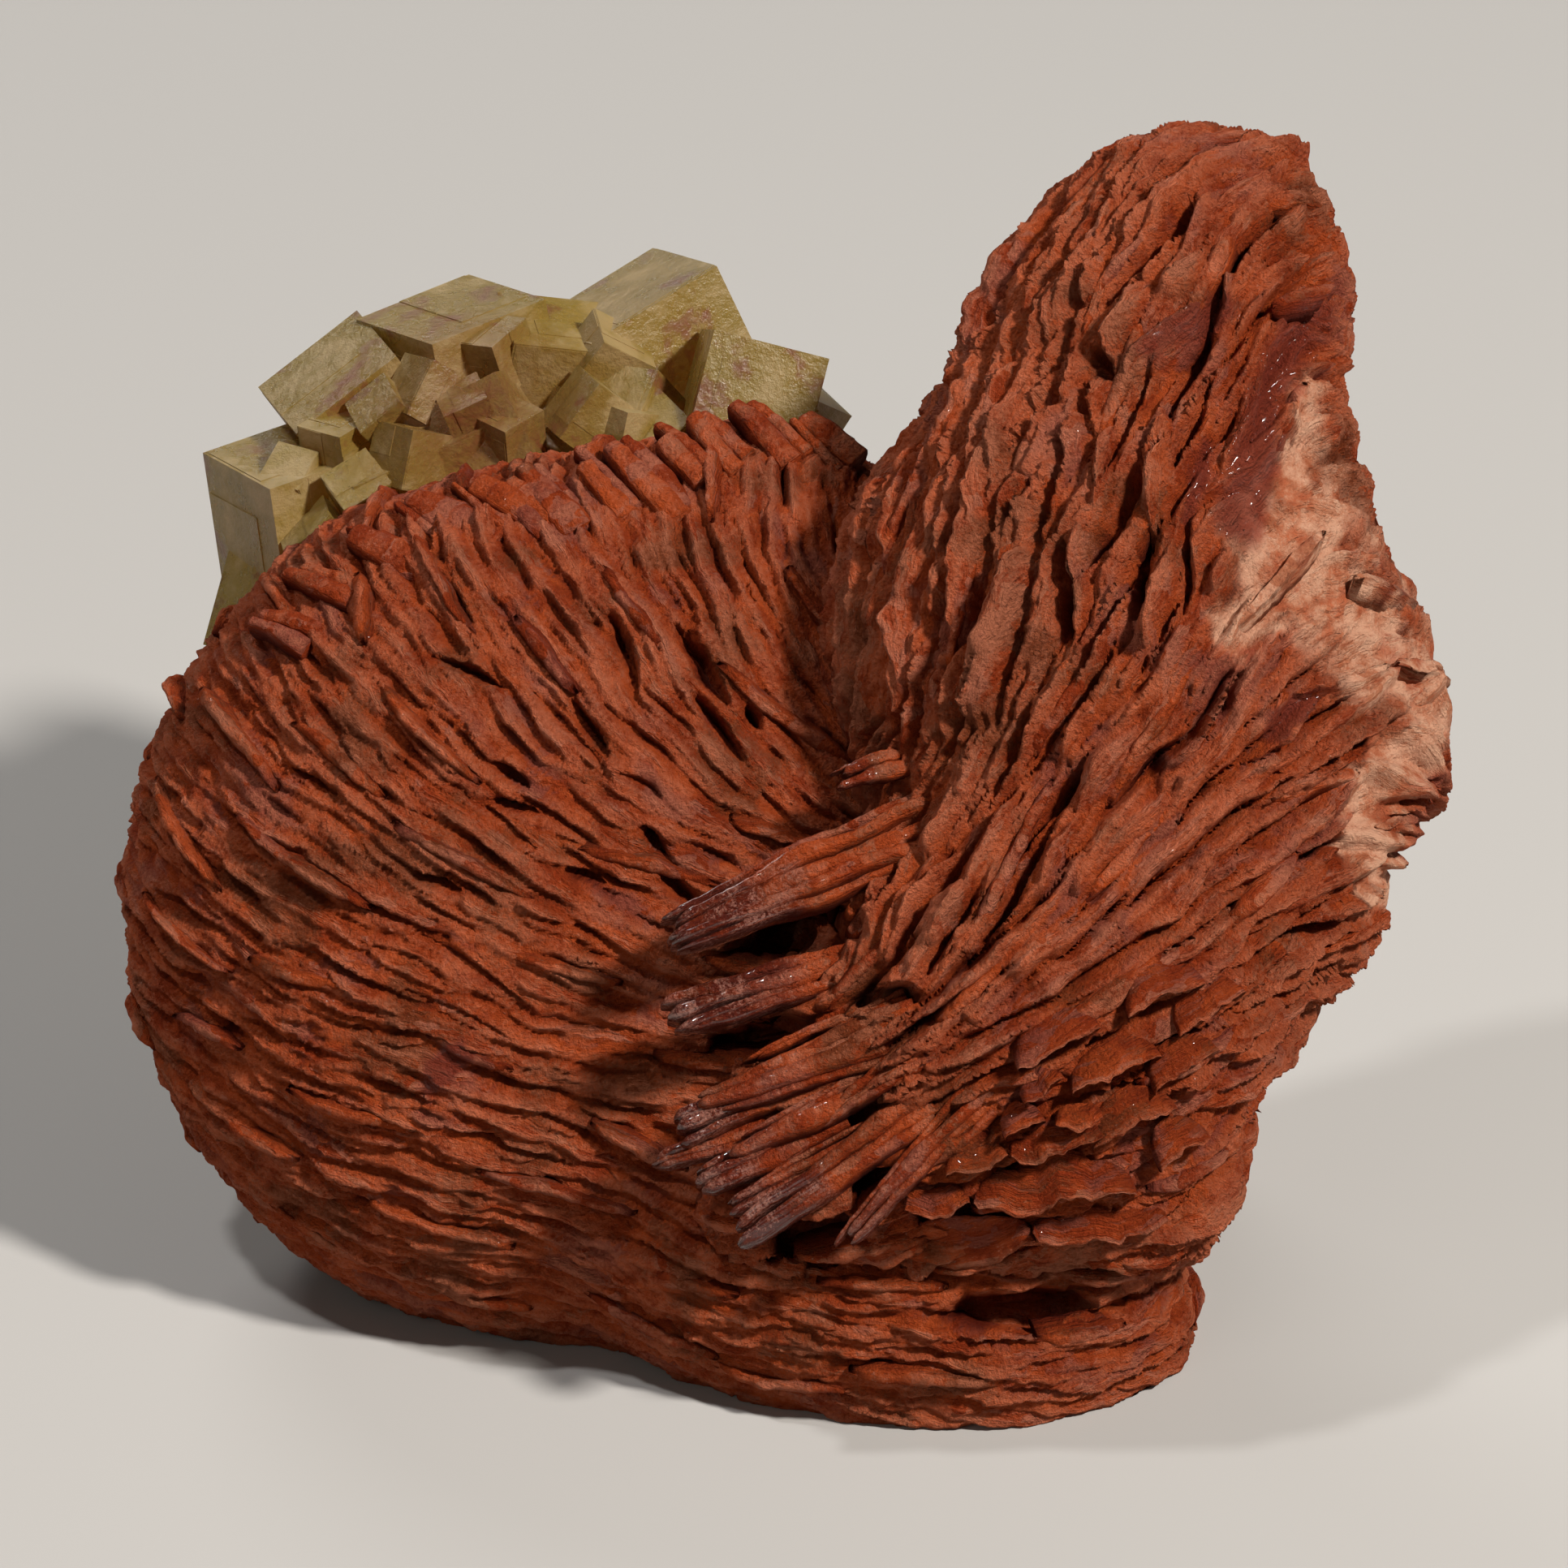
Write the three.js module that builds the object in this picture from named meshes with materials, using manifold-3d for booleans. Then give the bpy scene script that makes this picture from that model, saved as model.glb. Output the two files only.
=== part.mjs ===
// Red barite with fluorite: two fans of crested barite blades grown together along a
// valley, and a crust of yellow-green fluorite cubes on the back of the left fan.
// Millimetres, +Z up, standing on its broken underside, origin at the middle of the bottom
// of its bounding box.
//
// The specimen is described in its face frame: u to the right, v up the face and w out
// of the face. The face leans back, so that frame is turned about X to stand the
// specimen on its underside.

import * as THREE from "three";
import { ConvexGeometry } from "three/addons/geometries/ConvexGeometry.js";
import { mergeVertices } from "three/addons/utils/BufferGeometryUtils.js";
import Module from "manifold-3d";

const wasm = await Module();
wasm.setup();

// Driving dimensions, in millimetres and degrees.
const FACE_LEAN = 30; // how far the face leans back from upright
const BASE_DROP = 31.5; // from the face frame's origin down to the surface it stands on
const BASE_SHIFT = [0.473, -6.647]; // moves the middle of the whole outline onto the origin
const LUMP_BLEND = 1.6; // how widely neighbouring lumps run into each other
const BODY_INSET = 0.5; // how far the body lies under the blades' roots
const BODY_DETAIL = 3; // subdivisions of each body's facets
const SEAT_GAP = 0.3; // between barite and fluorite

// Each fan's body is a blend of egg-shaped lumps: middle, half sizes along the lump's
// own axes, and how far it is turned in the face.
const LEFT_LUMPS = {
  dome: { at: [-13, -7, -8], half: [27, 27, 15.5], turn: 0 },
  skirt: { at: [5.5, -28.4, -4], half: [20, 11.6, 12], turn: -17 },
  crest: { at: [-2, 7.5, -9], half: [14, 14.5, 11], turn: 0 },
  back: { at: [-1, -8, -18], half: [22, 18, 12], turn: 0 },
  heel: { at: [2, -18, -21], half: [22, 11, 13], turn: 0 },
};
const RIGHT_LUMPS = {
  plume: { at: [22.2, 25.4, 2], half: [14, 10.4, 9], turn: 65 },
  ridge: { at: [19.6, 9, 3], half: [18, 16.3, 11.5], turn: 80 },
  belly: { at: [14.3, -13.3, 4], half: [18.5, 13.4, 12], turn: 40 },
  flank: { at: [26.5, -4.5, 1], half: [9.5, 9.5, 8], turn: 0 },
  shoulder: { at: [32, 4.8, -1], half: [8, 8.6, 7], turn: 0 },
  corner: { at: [20, -22, 2], half: [6.5, 7.5, 7], turn: 0 },
  lip: { at: [2.1, -22.6, 6], half: [7.5, 5, 5], turn: 30 },
};

// The dark hollow under the right fan's lowest blades.
const CAVITY = { at: [14.5, -31.8, 8], half: [6.5, 2.4, 7], turn: 6 };

// How the blades lie at each height v of a fan: the angle of their edges in the face
// at the fan's middle, how much that changes for each millimetre to the right, and how
// far their broad faces are tipped towards the viewer.
const LEFT_GRAIN = [
  { v: -38, angle: -12, spread: 0, tip: 20 },
  { v: -25, angle: -10, spread: 0, tip: 18 },
  { v: -12, angle: -20, spread: -0.15, tip: 14 },
  { v: 0, angle: -31, spread: -0.3, tip: 10 },
  { v: 8, angle: -46, spread: -0.8, tip: 8 },
  { v: 24, angle: -56, spread: -0.8, tip: 8 },
];
const RIGHT_GRAIN = [
  { v: -30, angle: 5, spread: -0.6, tip: 28 },
  { v: -20, angle: 22, spread: -1, tip: 22 },
  { v: -10, angle: 40, spread: -1.4, tip: 12 },
  { v: 0, angle: 55, spread: -0.9, tip: 0 },
  { v: 10, angle: 70, spread: -0.9, tip: -12 },
  { v: 20, angle: 77, spread: -0.3, tip: -18 },
  { v: 38, angle: 60, spread: -0.3, tip: -18 },
];

// Each fan: where its grain is measured from, the point that its body's facets spread
// from, and its blades' sizes and spacing.
const FANS = {
  left: {
    lumps: LEFT_LUMPS,
    grain: LEFT_GRAIN,
    middle: -15,
    heart: [-6, -10, -9],
    blade: { length: [10, 15], crest: [0.8, 1.9], thickness: [3.4, 4.4] },
    spacing: { along: 9.4, across: 2.8 },
  },
  right: {
    lumps: RIGHT_LUMPS,
    grain: RIGHT_GRAIN,
    middle: 15,
    heart: [17, 3, 2],
    blade: { length: [12, 18], crest: [0.8, 2.1], thickness: [3.4, 4.4] },
    spacing: { along: 10.5, across: 2.9 },
  },
};
const TRIED_PLACES = 26000; // points tried for the blades of one fan
const BURIED = -1.5; // how deep in the other fan a blade is left out
const BLADE_ROOT = 1.8; // how deep a blade goes under the surface
const SPEAR_TAPER = 0.55; // thickness that a free blade loses towards its edge, as a share
const BACK_BEGINS = -0.25; // how far the surface turns from the viewer where the back begins
const BACK_SCALE = 2.1; // how much larger the back's blades are
const END_RISE = 0.9; // the most that a blade's ends may stand over the surface
const BLADE_JITTER = 5; // degrees by which blades differ from their neighbours
const MOST_FLAT = 0.8; // the most that a blade's broad face may turn to the surface

// The free blades that stand out of the right fan over the valley, from root to tip.
const SPEARS = [
  { root: [6.6, -4, 8], tip: [-7.2, -9.9, 13], depth: 3.6, thickness: 2.6 },
  { root: [7.2, -10, 9], tip: [-8, -15, 12], depth: 3.8, thickness: 2.6 },
  { root: [-1, -18, 8], tip: [-7.4, -22, 11], depth: 3.4, thickness: 2.4 },
  { root: [8.5, -17.5, 13], tip: [-2.4, -27.3, 12.5], depth: 3.6, thickness: 2.2 },
  { root: [12, -19, 13], tip: [2.6, -28, 12], depth: 3.2, thickness: 1.8 },
  { root: [7.6, 1, 9], tip: [2.8, 0.2, 11], depth: 2, thickness: 1.6 },
];

// Fluorite cubes that stand above the left fan: middle, edge, and turns about u, v, w.
const CUBES = [
  { at: [-29.4, 16.6, -17], edge: 8.4, turns: [20, 32, 8] },
  { at: [-26, 22.6, -18.5], edge: 7.8, turns: [25, 20, 33] },
  { at: [-19.7, 25.2, -19], edge: 8.6, turns: [15, 35, 12] },
  { at: [-14.4, 25.2, -18], edge: 7, turns: [30, 10, -12] },
  { at: [-8, 26, -21], edge: 9.6, turns: [10, 25, 27] },
  { at: [-2.6, 22.4, -20], edge: 8, turns: [35, 30, -38] },
  { at: [1.2, 17.5, -19], edge: 7, turns: [15, 20, 20] },
  { at: [-30, 10.6, -17.5], edge: 7, turns: [12, 40, -20] },
  { at: [-21, 18, -17], edge: 10.5, turns: [25, 15, 20] },
  { at: [-10, 18.5, -18], edge: 11, turns: [20, 40, -15] },
];

// The crust of cubes on the back of the left fan, and how far across and down it reaches.
const CRUST = {
  spacing: 6.2,
  edge: [6, 9.5],
  sink: 0.28,
  facing: -0.3,
  middle: -12,
  halfWidth: 14,
  lowest: -2,
  tried: 9000,
};

const REACH = [46, 42, 34]; // half of the space that holds the specimen
const SHELL = 1.2; // how close to the surface a point must fall
const EVEN_STEP = 1.2207440846; // solves x ** 4 = x + 1, and so fills space evenly
const UP = new THREE.Vector3(0, 0, 1);
const SPEAR_OUT = new THREE.Vector3(0.1, 0.5, 1); // roughly where the free blades' edges face
const RADIANS = Math.PI / 180;

// A small repeatable random generator.
function randomFrom(seed) {
  let state = seed;
  return () => {
    state = (state + 0x6d2b79f5) | 0;
    let t = Math.imul(state ^ (state >>> 15), 1 | state);
    t = (t + Math.imul(t ^ (t >>> 7), 61 | t)) ^ t;
    return ((t ^ (t >>> 14)) >>> 0) / 4294967296;
  };
}

const between = ([low, high], share) => low + (high - low) * share;

// Distance from a point to one lump's surface, negative inside.
function lumpDistance({ at, half, turn }, point) {
  const c = Math.cos(turn * RADIANS);
  const s = Math.sin(turn * RADIANS);
  const [du, dv] = [point.x - at[0], point.y - at[1]];
  const local = [du * c + dv * s, dv * c - du * s, point.z - at[2]];
  const near = Math.hypot(...local.map((x, i) => x / half[i]));
  const steep = Math.hypot(...local.map((x, i) => x / half[i] ** 2));
  return steep ? (near * (near - 1)) / steep : -Math.min(...half);
}

// Distance from a point to a fan's blended surface, negative inside.
function fanDistance(fan, point) {
  const sum = Object.values(fan.lumps).reduce(
    (total, lump) => total + Math.exp(-lumpDistance(lump, point) / LUMP_BLEND),
    0,
  );
  return -LUMP_BLEND * Math.log(sum);
}

// The fan's outward normal at a point.
function fanNormal(fan, point) {
  const step = 0.05;
  const slope = ["x", "y", "z"].map((axis) => {
    const ahead = point.clone();
    const behind = point.clone();
    ahead[axis] += step;
    behind[axis] -= step;
    return fanDistance(fan, ahead) - fanDistance(fan, behind);
  });
  return new THREE.Vector3(...slope).normalize();
}

// The nearest point of the fan's surface, found in a few steps.
function ontoFan(fan, point) {
  const found = point.clone();
  for (let step = 0; step < 4; step++) {
    found.addScaledVector(fanNormal(fan, found), -fanDistance(fan, found));
  }
  return found;
}

// Points spread evenly over a fan's surface: those of an even sequence through the
// whole of space that fall close to the surface, moved onto it.
function* surfacePoints(fan, count) {
  for (let i = 1; i <= count; i++) {
    const spread = [1, 2, 3].map((power) => (0.5 + i / EVEN_STEP ** power) % 1);
    const point = new THREE.Vector3(...spread.map((x, axis) => (2 * x - 1) * REACH[axis]));
    if (Math.abs(fanDistance(fan, point)) < SHELL) yield ontoFan(fan, point);
  }
}

// The direction across the blades, square to their broad faces, at a point of a fan.
function bladeAcross(fan, point) {
  const list = fan.grain;
  const found = list.findIndex((row) => row.v > point.y);
  const i = found < 0 ? list.length - 1 : Math.max(found, 1);
  const [low, high] = [list[i - 1], list[i]];
  const share = THREE.MathUtils.clamp((point.y - low.v) / (high.v - low.v), 0, 1);
  const blend = (key) => low[key] + (high[key] - low[key]) * share;
  const angle = (blend("angle") + blend("spread") * (point.x - fan.middle)) * RADIANS;
  const tip = blend("tip") * RADIANS;
  return new THREE.Vector3(
    -Math.sin(angle) * Math.cos(tip),
    Math.cos(angle) * Math.cos(tip),
    Math.sin(tip),
  );
}

// The blade's own axes at a surface point: along its edge, out of the body and across.
function bladeAxes(fan, point, random) {
  const normal = fanNormal(fan, point);
  const across = bladeAcross(fan, point);
  const jitter = () => (random() - 0.5) * 2 * Math.tan(BLADE_JITTER * RADIANS);
  across.add(new THREE.Vector3(jitter(), jitter(), jitter() * 2)).normalize();
  const facing = across.dot(normal);
  if (Math.abs(facing) > MOST_FLAT) {
    const flat = across.clone().addScaledVector(normal, -facing);
    if (flat.length() < 1e-3) flat.crossVectors(normal, UP);
    flat.setLength(Math.sqrt(1 - MOST_FLAT ** 2));
    across.copy(flat).addScaledVector(normal, Math.sign(facing) * MOST_FLAT);
  }
  const out = normal.addScaledVector(across, -across.dot(normal)).normalize();
  return { along: out.clone().cross(across), out, across };
}

// One crested blade: a wedge between an uneven, curved crest and its buried root.
function bladeGeometry({ length, crest, thickness }, random) {
  const half = length / 2;
  const uneven = () => 0.7 + 0.45 * random();
  const sway = () => (random() - 0.5) * 0.5 * thickness;
  return new ConvexGeometry([
    new THREE.Vector3(-half, -0.2 * BLADE_ROOT, 0),
    new THREE.Vector3(-0.6 * half, 0.75 * crest * uneven(), sway()),
    new THREE.Vector3(0, crest * uneven(), sway()),
    new THREE.Vector3(0.6 * half, 0.75 * crest * uneven(), sway()),
    new THREE.Vector3(half, -0.2 * BLADE_ROOT, 0),
    new THREE.Vector3(-0.7 * half, -BLADE_ROOT, -thickness / 2),
    new THREE.Vector3(0.7 * half, -BLADE_ROOT, -thickness / 2),
    new THREE.Vector3(-0.7 * half, -BLADE_ROOT, thickness / 2),
    new THREE.Vector3(0.7 * half, -BLADE_ROOT, thickness / 2),
  ]);
}

// Places a geometry by its own axes at a point.
function placed(geometry, { along, out, across }, point) {
  const matrix = new THREE.Matrix4().makeBasis(along, out, across);
  return geometry.applyMatrix4(matrix.setPosition(point));
}

// A closed geometry as a solid that can be joined and cut.
function solidOf(geometry) {
  const bare = geometry.index ? geometry.toNonIndexed() : geometry.clone();
  bare.deleteAttribute("normal");
  bare.deleteAttribute("uv");
  const merged = mergeVertices(bare, 1e-4);
  return new wasm.Manifold(
    new wasm.Mesh({
      numProp: 3,
      vertProperties: merged.getAttribute("position").array,
      triVerts: new Uint32Array(merged.index.array),
    }),
  );
}

// A solid's faces as a geometry with flat shading.
function geometryOf(solid) {
  const mesh = solid.getMesh();
  const geometry = new THREE.BufferGeometry();
  const position = new THREE.BufferAttribute(new Float32Array(mesh.vertProperties), 3);
  geometry.setAttribute("position", position);
  geometry.setIndex(new THREE.BufferAttribute(mesh.triVerts, 1));
  const flat = geometry.toNonIndexed();
  flat.computeVertexNormals();
  return flat;
}

// The body under a fan's blades: a faceted ball pushed out to just under the surface.
function bodyGeometry(fan) {
  const heart = new THREE.Vector3(...fan.heart);
  const ball = new THREE.IcosahedronGeometry(1, BODY_DETAIL);
  const position = ball.getAttribute("position");
  for (let i = 0; i < position.count; i++) {
    const ray = new THREE.Vector3().fromBufferAttribute(position, i).normalize();
    let far = 60;
    let near = 0;
    for (let step = 0; step < 40; step++) {
      const middle = (near + far) / 2;
      const point = heart.clone().addScaledVector(ray, middle);
      if (fanDistance(fan, point) < -BODY_INSET) near = middle;
      else far = middle;
    }
    const point = heart.clone().addScaledVector(ray, near);
    position.setXYZ(i, point.x, point.y, point.z);
  }
  return ball;
}

// A blade's length, shortened where the surface curves away under its ends.
function fittedLength(fan, point, along, wanted) {
  const rise = (length) => {
    const ends = [-0.5, 0.5].map((share) => point.clone().addScaledVector(along, share * length));
    return Math.max(...ends.map((end) => fanDistance(fan, end)));
  };
  let length = wanted;
  while (rise(length) > END_RISE) length *= 0.85;
  return length;
}

// One egg-shaped lump as a solid of its own.
function lumpSolid({ at, half, turn }) {
  const ball = new THREE.IcosahedronGeometry(1, 2).scale(...half);
  return solidOf(ball.rotateZ(turn * RADIANS).translate(...at));
}

// Every blade of a fan, kept apart from its neighbours and out of the other fan.
function bladeSolids(fan, other, seed) {
  const random = randomFrom(seed);
  const kept = [];
  for (const point of surfacePoints(fan, TRIED_PLACES)) {
    if (fanDistance(other, point) < BURIED) continue;
    const axes = bladeAxes(fan, point, random);
    const scale = fanNormal(fan, point).z < BACK_BEGINS ? BACK_SCALE : 1;
    const crowded = kept.some((blade) => {
      const gap = point.clone().sub(blade.point).divideScalar(scale);
      const along = gap.dot(blade.axes.along) / fan.spacing.along;
      const across = gap.dot(blade.axes.across) / fan.spacing.across;
      const out = gap.dot(blade.axes.out) / fan.spacing.along;
      return along ** 2 + across ** 2 + out ** 2 < 1;
    });
    if (!crowded) kept.push({ point, axes, scale });
  }
  return kept.map(({ point, axes, scale }) => {
    const wanted = between(fan.blade.length, random()) * scale;
    const length = fittedLength(fan, point, axes.along, wanted);
    const size = {
      length,
      crest: (between(fan.blade.crest, random()) * (length + wanted)) / (2 * wanted),
      thickness: (between(fan.blade.thickness, random()) * scale * length) / wanted,
    };
    return solidOf(placed(bladeGeometry(size, random), axes, point));
  });
}

// One free blade with a chisel tip, from its root in the fan to its tip.
function spearSolid({ root, tip, depth, thickness }) {
  const start = new THREE.Vector3(...root);
  const along = new THREE.Vector3(...tip).sub(start);
  const length = along.length();
  along.normalize();
  const out = SPEAR_OUT.clone();
  out.addScaledVector(along, -out.dot(along)).normalize();
  const ring = (share, deep, thick) =>
    [-1, 1].flatMap((y) =>
      [-1, 1].map((z) => {
        const lean = 1 - 0.5 * (y + 1) * SPEAR_TAPER;
        return new THREE.Vector3(share * length, (y * deep) / 2, (z * thick * lean) / 2);
      }),
    );
  const blade = new ConvexGeometry([
    ...ring(0, depth, thickness),
    ...ring(0.7, 0.9 * depth, 0.9 * thickness),
    ...ring(0.93, 0.5 * depth, 0.6 * thickness),
    new THREE.Vector3(length, -0.1 * depth, 0),
  ]);
  return solidOf(placed(blade, { along, out, across: along.clone().cross(out) }, start));
}

// One cube, grown or shrunk all round by an allowance.
function cubeSolid({ at, edge, turns }, allowance) {
  const size = edge + 2 * allowance;
  const cube = new THREE.BoxGeometry(size, size, size);
  const turn = new THREE.Euler(...turns.map((degrees) => degrees * RADIANS));
  cube.applyMatrix4(new THREE.Matrix4().makeRotationFromEuler(turn));
  return solidOf(cube.translate(...at));
}

// The cubes of the crust that covers the back of the left fan, above its middle.
function crustCubes() {
  const random = randomFrom(11);
  const cubes = [];
  for (const point of surfacePoints(FANS.left, CRUST.tried)) {
    const normal = fanNormal(FANS.left, point);
    const across = Math.abs(point.x - CRUST.middle) < CRUST.halfWidth;
    const onBack = normal.z < CRUST.facing && point.y > CRUST.lowest && across;
    const near = (cube) => point.distanceTo(cube.spot) < CRUST.spacing;
    if (!onBack || cubes.some(near)) continue;
    const edge = between(CRUST.edge, random());
    const middle = point.clone().addScaledVector(normal, CRUST.sink * edge);
    const turns = [random() * 90, random() * 90, random() * 90];
    cubes.push({ at: middle.toArray(), edge, turns, spot: point });
  }
  return cubes;
}

// The largest separate body of a solid, which leaves out loose chips.
function largestBody(solid) {
  const bodies = solid.decompose();
  return bodies.reduce((best, body) => (body.volume() > best.volume() ? body : best));
}

// Everything below the surface that the specimen stands on, in the face frame.
function groundSolid() {
  const slab = new THREE.BoxGeometry(200, 200, 60).translate(0, 0, -30);
  return solidOf(slab.applyMatrix4(standing().invert()));
}

// The matrix that stands the face frame on its base.
function standing() {
  const turn = new THREE.Matrix4().makeRotationX((90 - FACE_LEAN) * RADIANS);
  return turn.setPosition(BASE_SHIFT[0], BASE_SHIFT[1], BASE_DROP);
}

function mineralMesh(name, solid, material) {
  const mesh = new THREE.Mesh(geometryOf(solid), material);
  mesh.name = name;
  return mesh;
}

const cubes = [...CUBES, ...crustCubes()];
const cluster = wasm.Manifold.union(cubes.map((cube) => cubeSolid(cube, 0)));
const sockets = wasm.Manifold.union(cubes.map((cube) => cubeSolid(cube, SEAT_GAP)));

const { left, right } = FANS;
const barite = wasm.Manifold.union([
  solidOf(bodyGeometry(left)),
  solidOf(bodyGeometry(right)),
  ...bladeSolids(left, right, 3),
  ...bladeSolids(right, left, 5),
  ...SPEARS.map(spearSolid),
]).subtract(lumpSolid(CAVITY));

const redBarite = new THREE.MeshStandardMaterial({
  color: 0xa8502f,
  roughness: 0.82,
  metalness: 0,
});
const yellowFluorite = new THREE.MeshStandardMaterial({
  color: 0xb09548,
  roughness: 0.25,
  metalness: 0,
  transparent: true,
  opacity: 0.8,
});

const face = new THREE.Group();
face.applyMatrix4(standing());
face.add(
  mineralMesh("barite", largestBody(barite.subtract(sockets).subtract(groundSolid())), redBarite),
  mineralMesh("fluorite", largestBody(cluster.subtract(groundSolid())), yellowFluorite),
);

const specimen = new THREE.Group();
specimen.add(face);

export default specimen;
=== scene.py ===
"""Red barite with fluorite, dressed for its render.

Two fans of thin crested barite blades meet along a valley. Free blades with glossy tips
stand out over it, and a cluster of yellow-green fluorite cubes grows behind the left fan.

Shapes are worked out in millimetres in the face frame, as in the part's source: u to the
right, v up the face and w out of the face towards the viewer. FaceFrame turns them into
metres in the row frame.
"""

import itertools
import logging
import math
from collections.abc import Iterator
from dataclasses import dataclass, field
from enum import Enum

import bmesh
import bpy
import numpy as np
from mathutils import Matrix, Vector


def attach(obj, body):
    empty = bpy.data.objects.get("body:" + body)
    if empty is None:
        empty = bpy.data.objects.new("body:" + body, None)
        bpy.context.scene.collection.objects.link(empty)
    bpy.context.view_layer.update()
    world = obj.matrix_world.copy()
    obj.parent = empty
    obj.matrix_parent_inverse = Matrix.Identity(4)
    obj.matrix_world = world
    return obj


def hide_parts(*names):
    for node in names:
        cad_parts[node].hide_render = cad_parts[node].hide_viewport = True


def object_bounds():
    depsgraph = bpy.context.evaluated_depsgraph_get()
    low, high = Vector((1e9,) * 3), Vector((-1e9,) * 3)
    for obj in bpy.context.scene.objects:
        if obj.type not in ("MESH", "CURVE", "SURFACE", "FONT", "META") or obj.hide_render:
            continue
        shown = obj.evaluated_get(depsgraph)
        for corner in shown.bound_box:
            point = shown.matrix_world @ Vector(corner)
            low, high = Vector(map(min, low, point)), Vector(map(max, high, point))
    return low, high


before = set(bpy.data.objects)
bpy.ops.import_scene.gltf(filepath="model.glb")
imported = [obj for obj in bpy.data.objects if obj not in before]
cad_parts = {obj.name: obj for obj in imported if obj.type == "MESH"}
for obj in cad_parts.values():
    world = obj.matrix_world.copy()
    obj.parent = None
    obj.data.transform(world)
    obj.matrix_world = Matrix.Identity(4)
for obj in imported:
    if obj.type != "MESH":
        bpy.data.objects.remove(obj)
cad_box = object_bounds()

LOG = logging.getLogger("barite")
METRES = 0.001  # metres in a millimetre
BODY = "root"
FURTHEST = 60.0  # no fan reaches further than this from its heart
HALVINGS = 22  # rounds in which the end of a ray is narrowed down
FADES_BEHIND = (-9.0, -3.0)  # values of w between which stains fade out towards the back
LEAST_HEIGHT = 2.5  # no blade stands out lower than this over the ground

Array = np.ndarray
Pair = tuple[float, float]
Triple = tuple[float, float, float]
Colour = tuple[float, float, float, float]
Socket = bpy.types.NodeSocket
Material = bpy.types.Material
Piece = bpy.types.Object
Feed = Socket | float | tuple  # what a shader node's input takes


def mixed_bits(corner: Array, seed: int) -> Array:
    """Repeatable whole numbers of 32 mixed bits for the corners of a grid.

    Args:
        corner: whole coordinates, three on the last axis.
        seed: picks the pattern.

    Returns:
        One number for each corner.
    """
    x, y, z = np.moveaxis(corner, -1, 0)
    mixed = (x * 374761393 + y * 668265263 + z * 1442695041 + seed * 974711) & 0xFFFFFFFF
    mixed = ((mixed ^ (mixed >> 13)) * 1274126177) & 0xFFFFFFFF
    return mixed ^ (mixed >> 16)


def noise(points: Array, size: float, seed: int) -> Array:
    """Smooth, repeatable swells in space.

    Args:
        points: places, with their three coordinates on the last axis.
        size: the width of one swell, in the points' own unit.
        seed: picks the pattern.

    Returns:
        One value between -1 and 1 for each place.
    """
    cell = np.asarray(points, dtype=float) / size + seed * 7.37
    corner = np.floor(cell).astype(np.int64)
    part = cell - corner
    ease = part * part * (3.0 - 2.0 * part)
    total = np.zeros(cell.shape[:-1])
    for step in itertools.product((0, 1), repeat=3):
        value = (mixed_bits(corner + np.array(step), seed) & 0xFFFF) / 32767.5 - 1.0
        total += value * np.prod(np.where(np.array(step) == 1, ease, 1.0 - ease), axis=-1)
    return total


def chip_pattern(points: Array, seed: int) -> tuple[Array, Array]:
    """Splits space into irregular tilted chips, about one unit wide each.

    Args:
        points: N by 3 places, in widths of a chip.
        seed: picks the pattern.

    Returns:
        A value from 0 to 1 that is the same all over one chip, and the height of the
        chip's tilted face, about -1 to 1.
    """
    cell = points + seed * 3.71
    corner = np.floor(cell).astype(np.int64)
    nearest = np.full(len(cell), 9.0)
    value, tilt = np.zeros(len(cell)), np.zeros(len(cell))
    for step in itertools.product((-1, 0, 1), repeat=3):
        spot = corner + np.array(step)
        mixed = mixed_bits(spot, seed)
        shares = [(mixed >> shift) & 0xFF for shift in (0, 8, 16)]
        middle = spot + np.stack(shares, axis=-1) / 255.0
        gap = np.linalg.norm(middle - cell, axis=-1)
        closer = gap < nearest
        value = np.where(closer, ((mixed >> 24) & 0xFF) / 255.0, value)
        slope = np.stack([mixed & 0x3F, (mixed >> 6) & 0x3F], axis=-1) - 31.5
        away = (cell - middle)[:, :2] * slope
        tilt = np.where(closer, away.sum(axis=-1) / 31.5, tilt)
        nearest = np.where(closer, gap, nearest)
    return value, value - 0.5 + 0.9 * tilt


def unit(vectors: Array) -> Array:
    """Scales vectors on the last axis to length 1."""
    length = np.linalg.norm(vectors, axis=-1, keepdims=True)
    return vectors / np.maximum(length, 1e-9)


def dot(a: Array, b: Array) -> Array:
    """Scalar product on the last axis, which is kept."""
    return np.sum(a * b, axis=-1, keepdims=True)


def split_turned(away: Array, degrees: float) -> tuple[Array, Array]:
    """Splits offsets in the face along and across a direction turned by some degrees."""
    c, s = math.cos(math.radians(degrees)), math.sin(math.radians(degrees))
    return away[..., 0] * c + away[..., 1] * s, away[..., 1] * c - away[..., 0] * s


def turned(along: Array, side: Array, degrees: Array) -> tuple[Array, Array]:
    """Turns two square directions about the third, the first towards the second."""
    turn = np.radians(degrees)[:, None]
    return along * np.cos(turn) + side * np.sin(turn), side * np.cos(turn) - along * np.sin(turn)


def rising(low: float, high: float, values: Array) -> Array:
    """Rises smoothly from 0 at low to 1 at high."""
    share = np.clip((values - low) / (high - low), 0.0, 1.0)
    return share * share * (3.0 - 2.0 * share)


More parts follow.
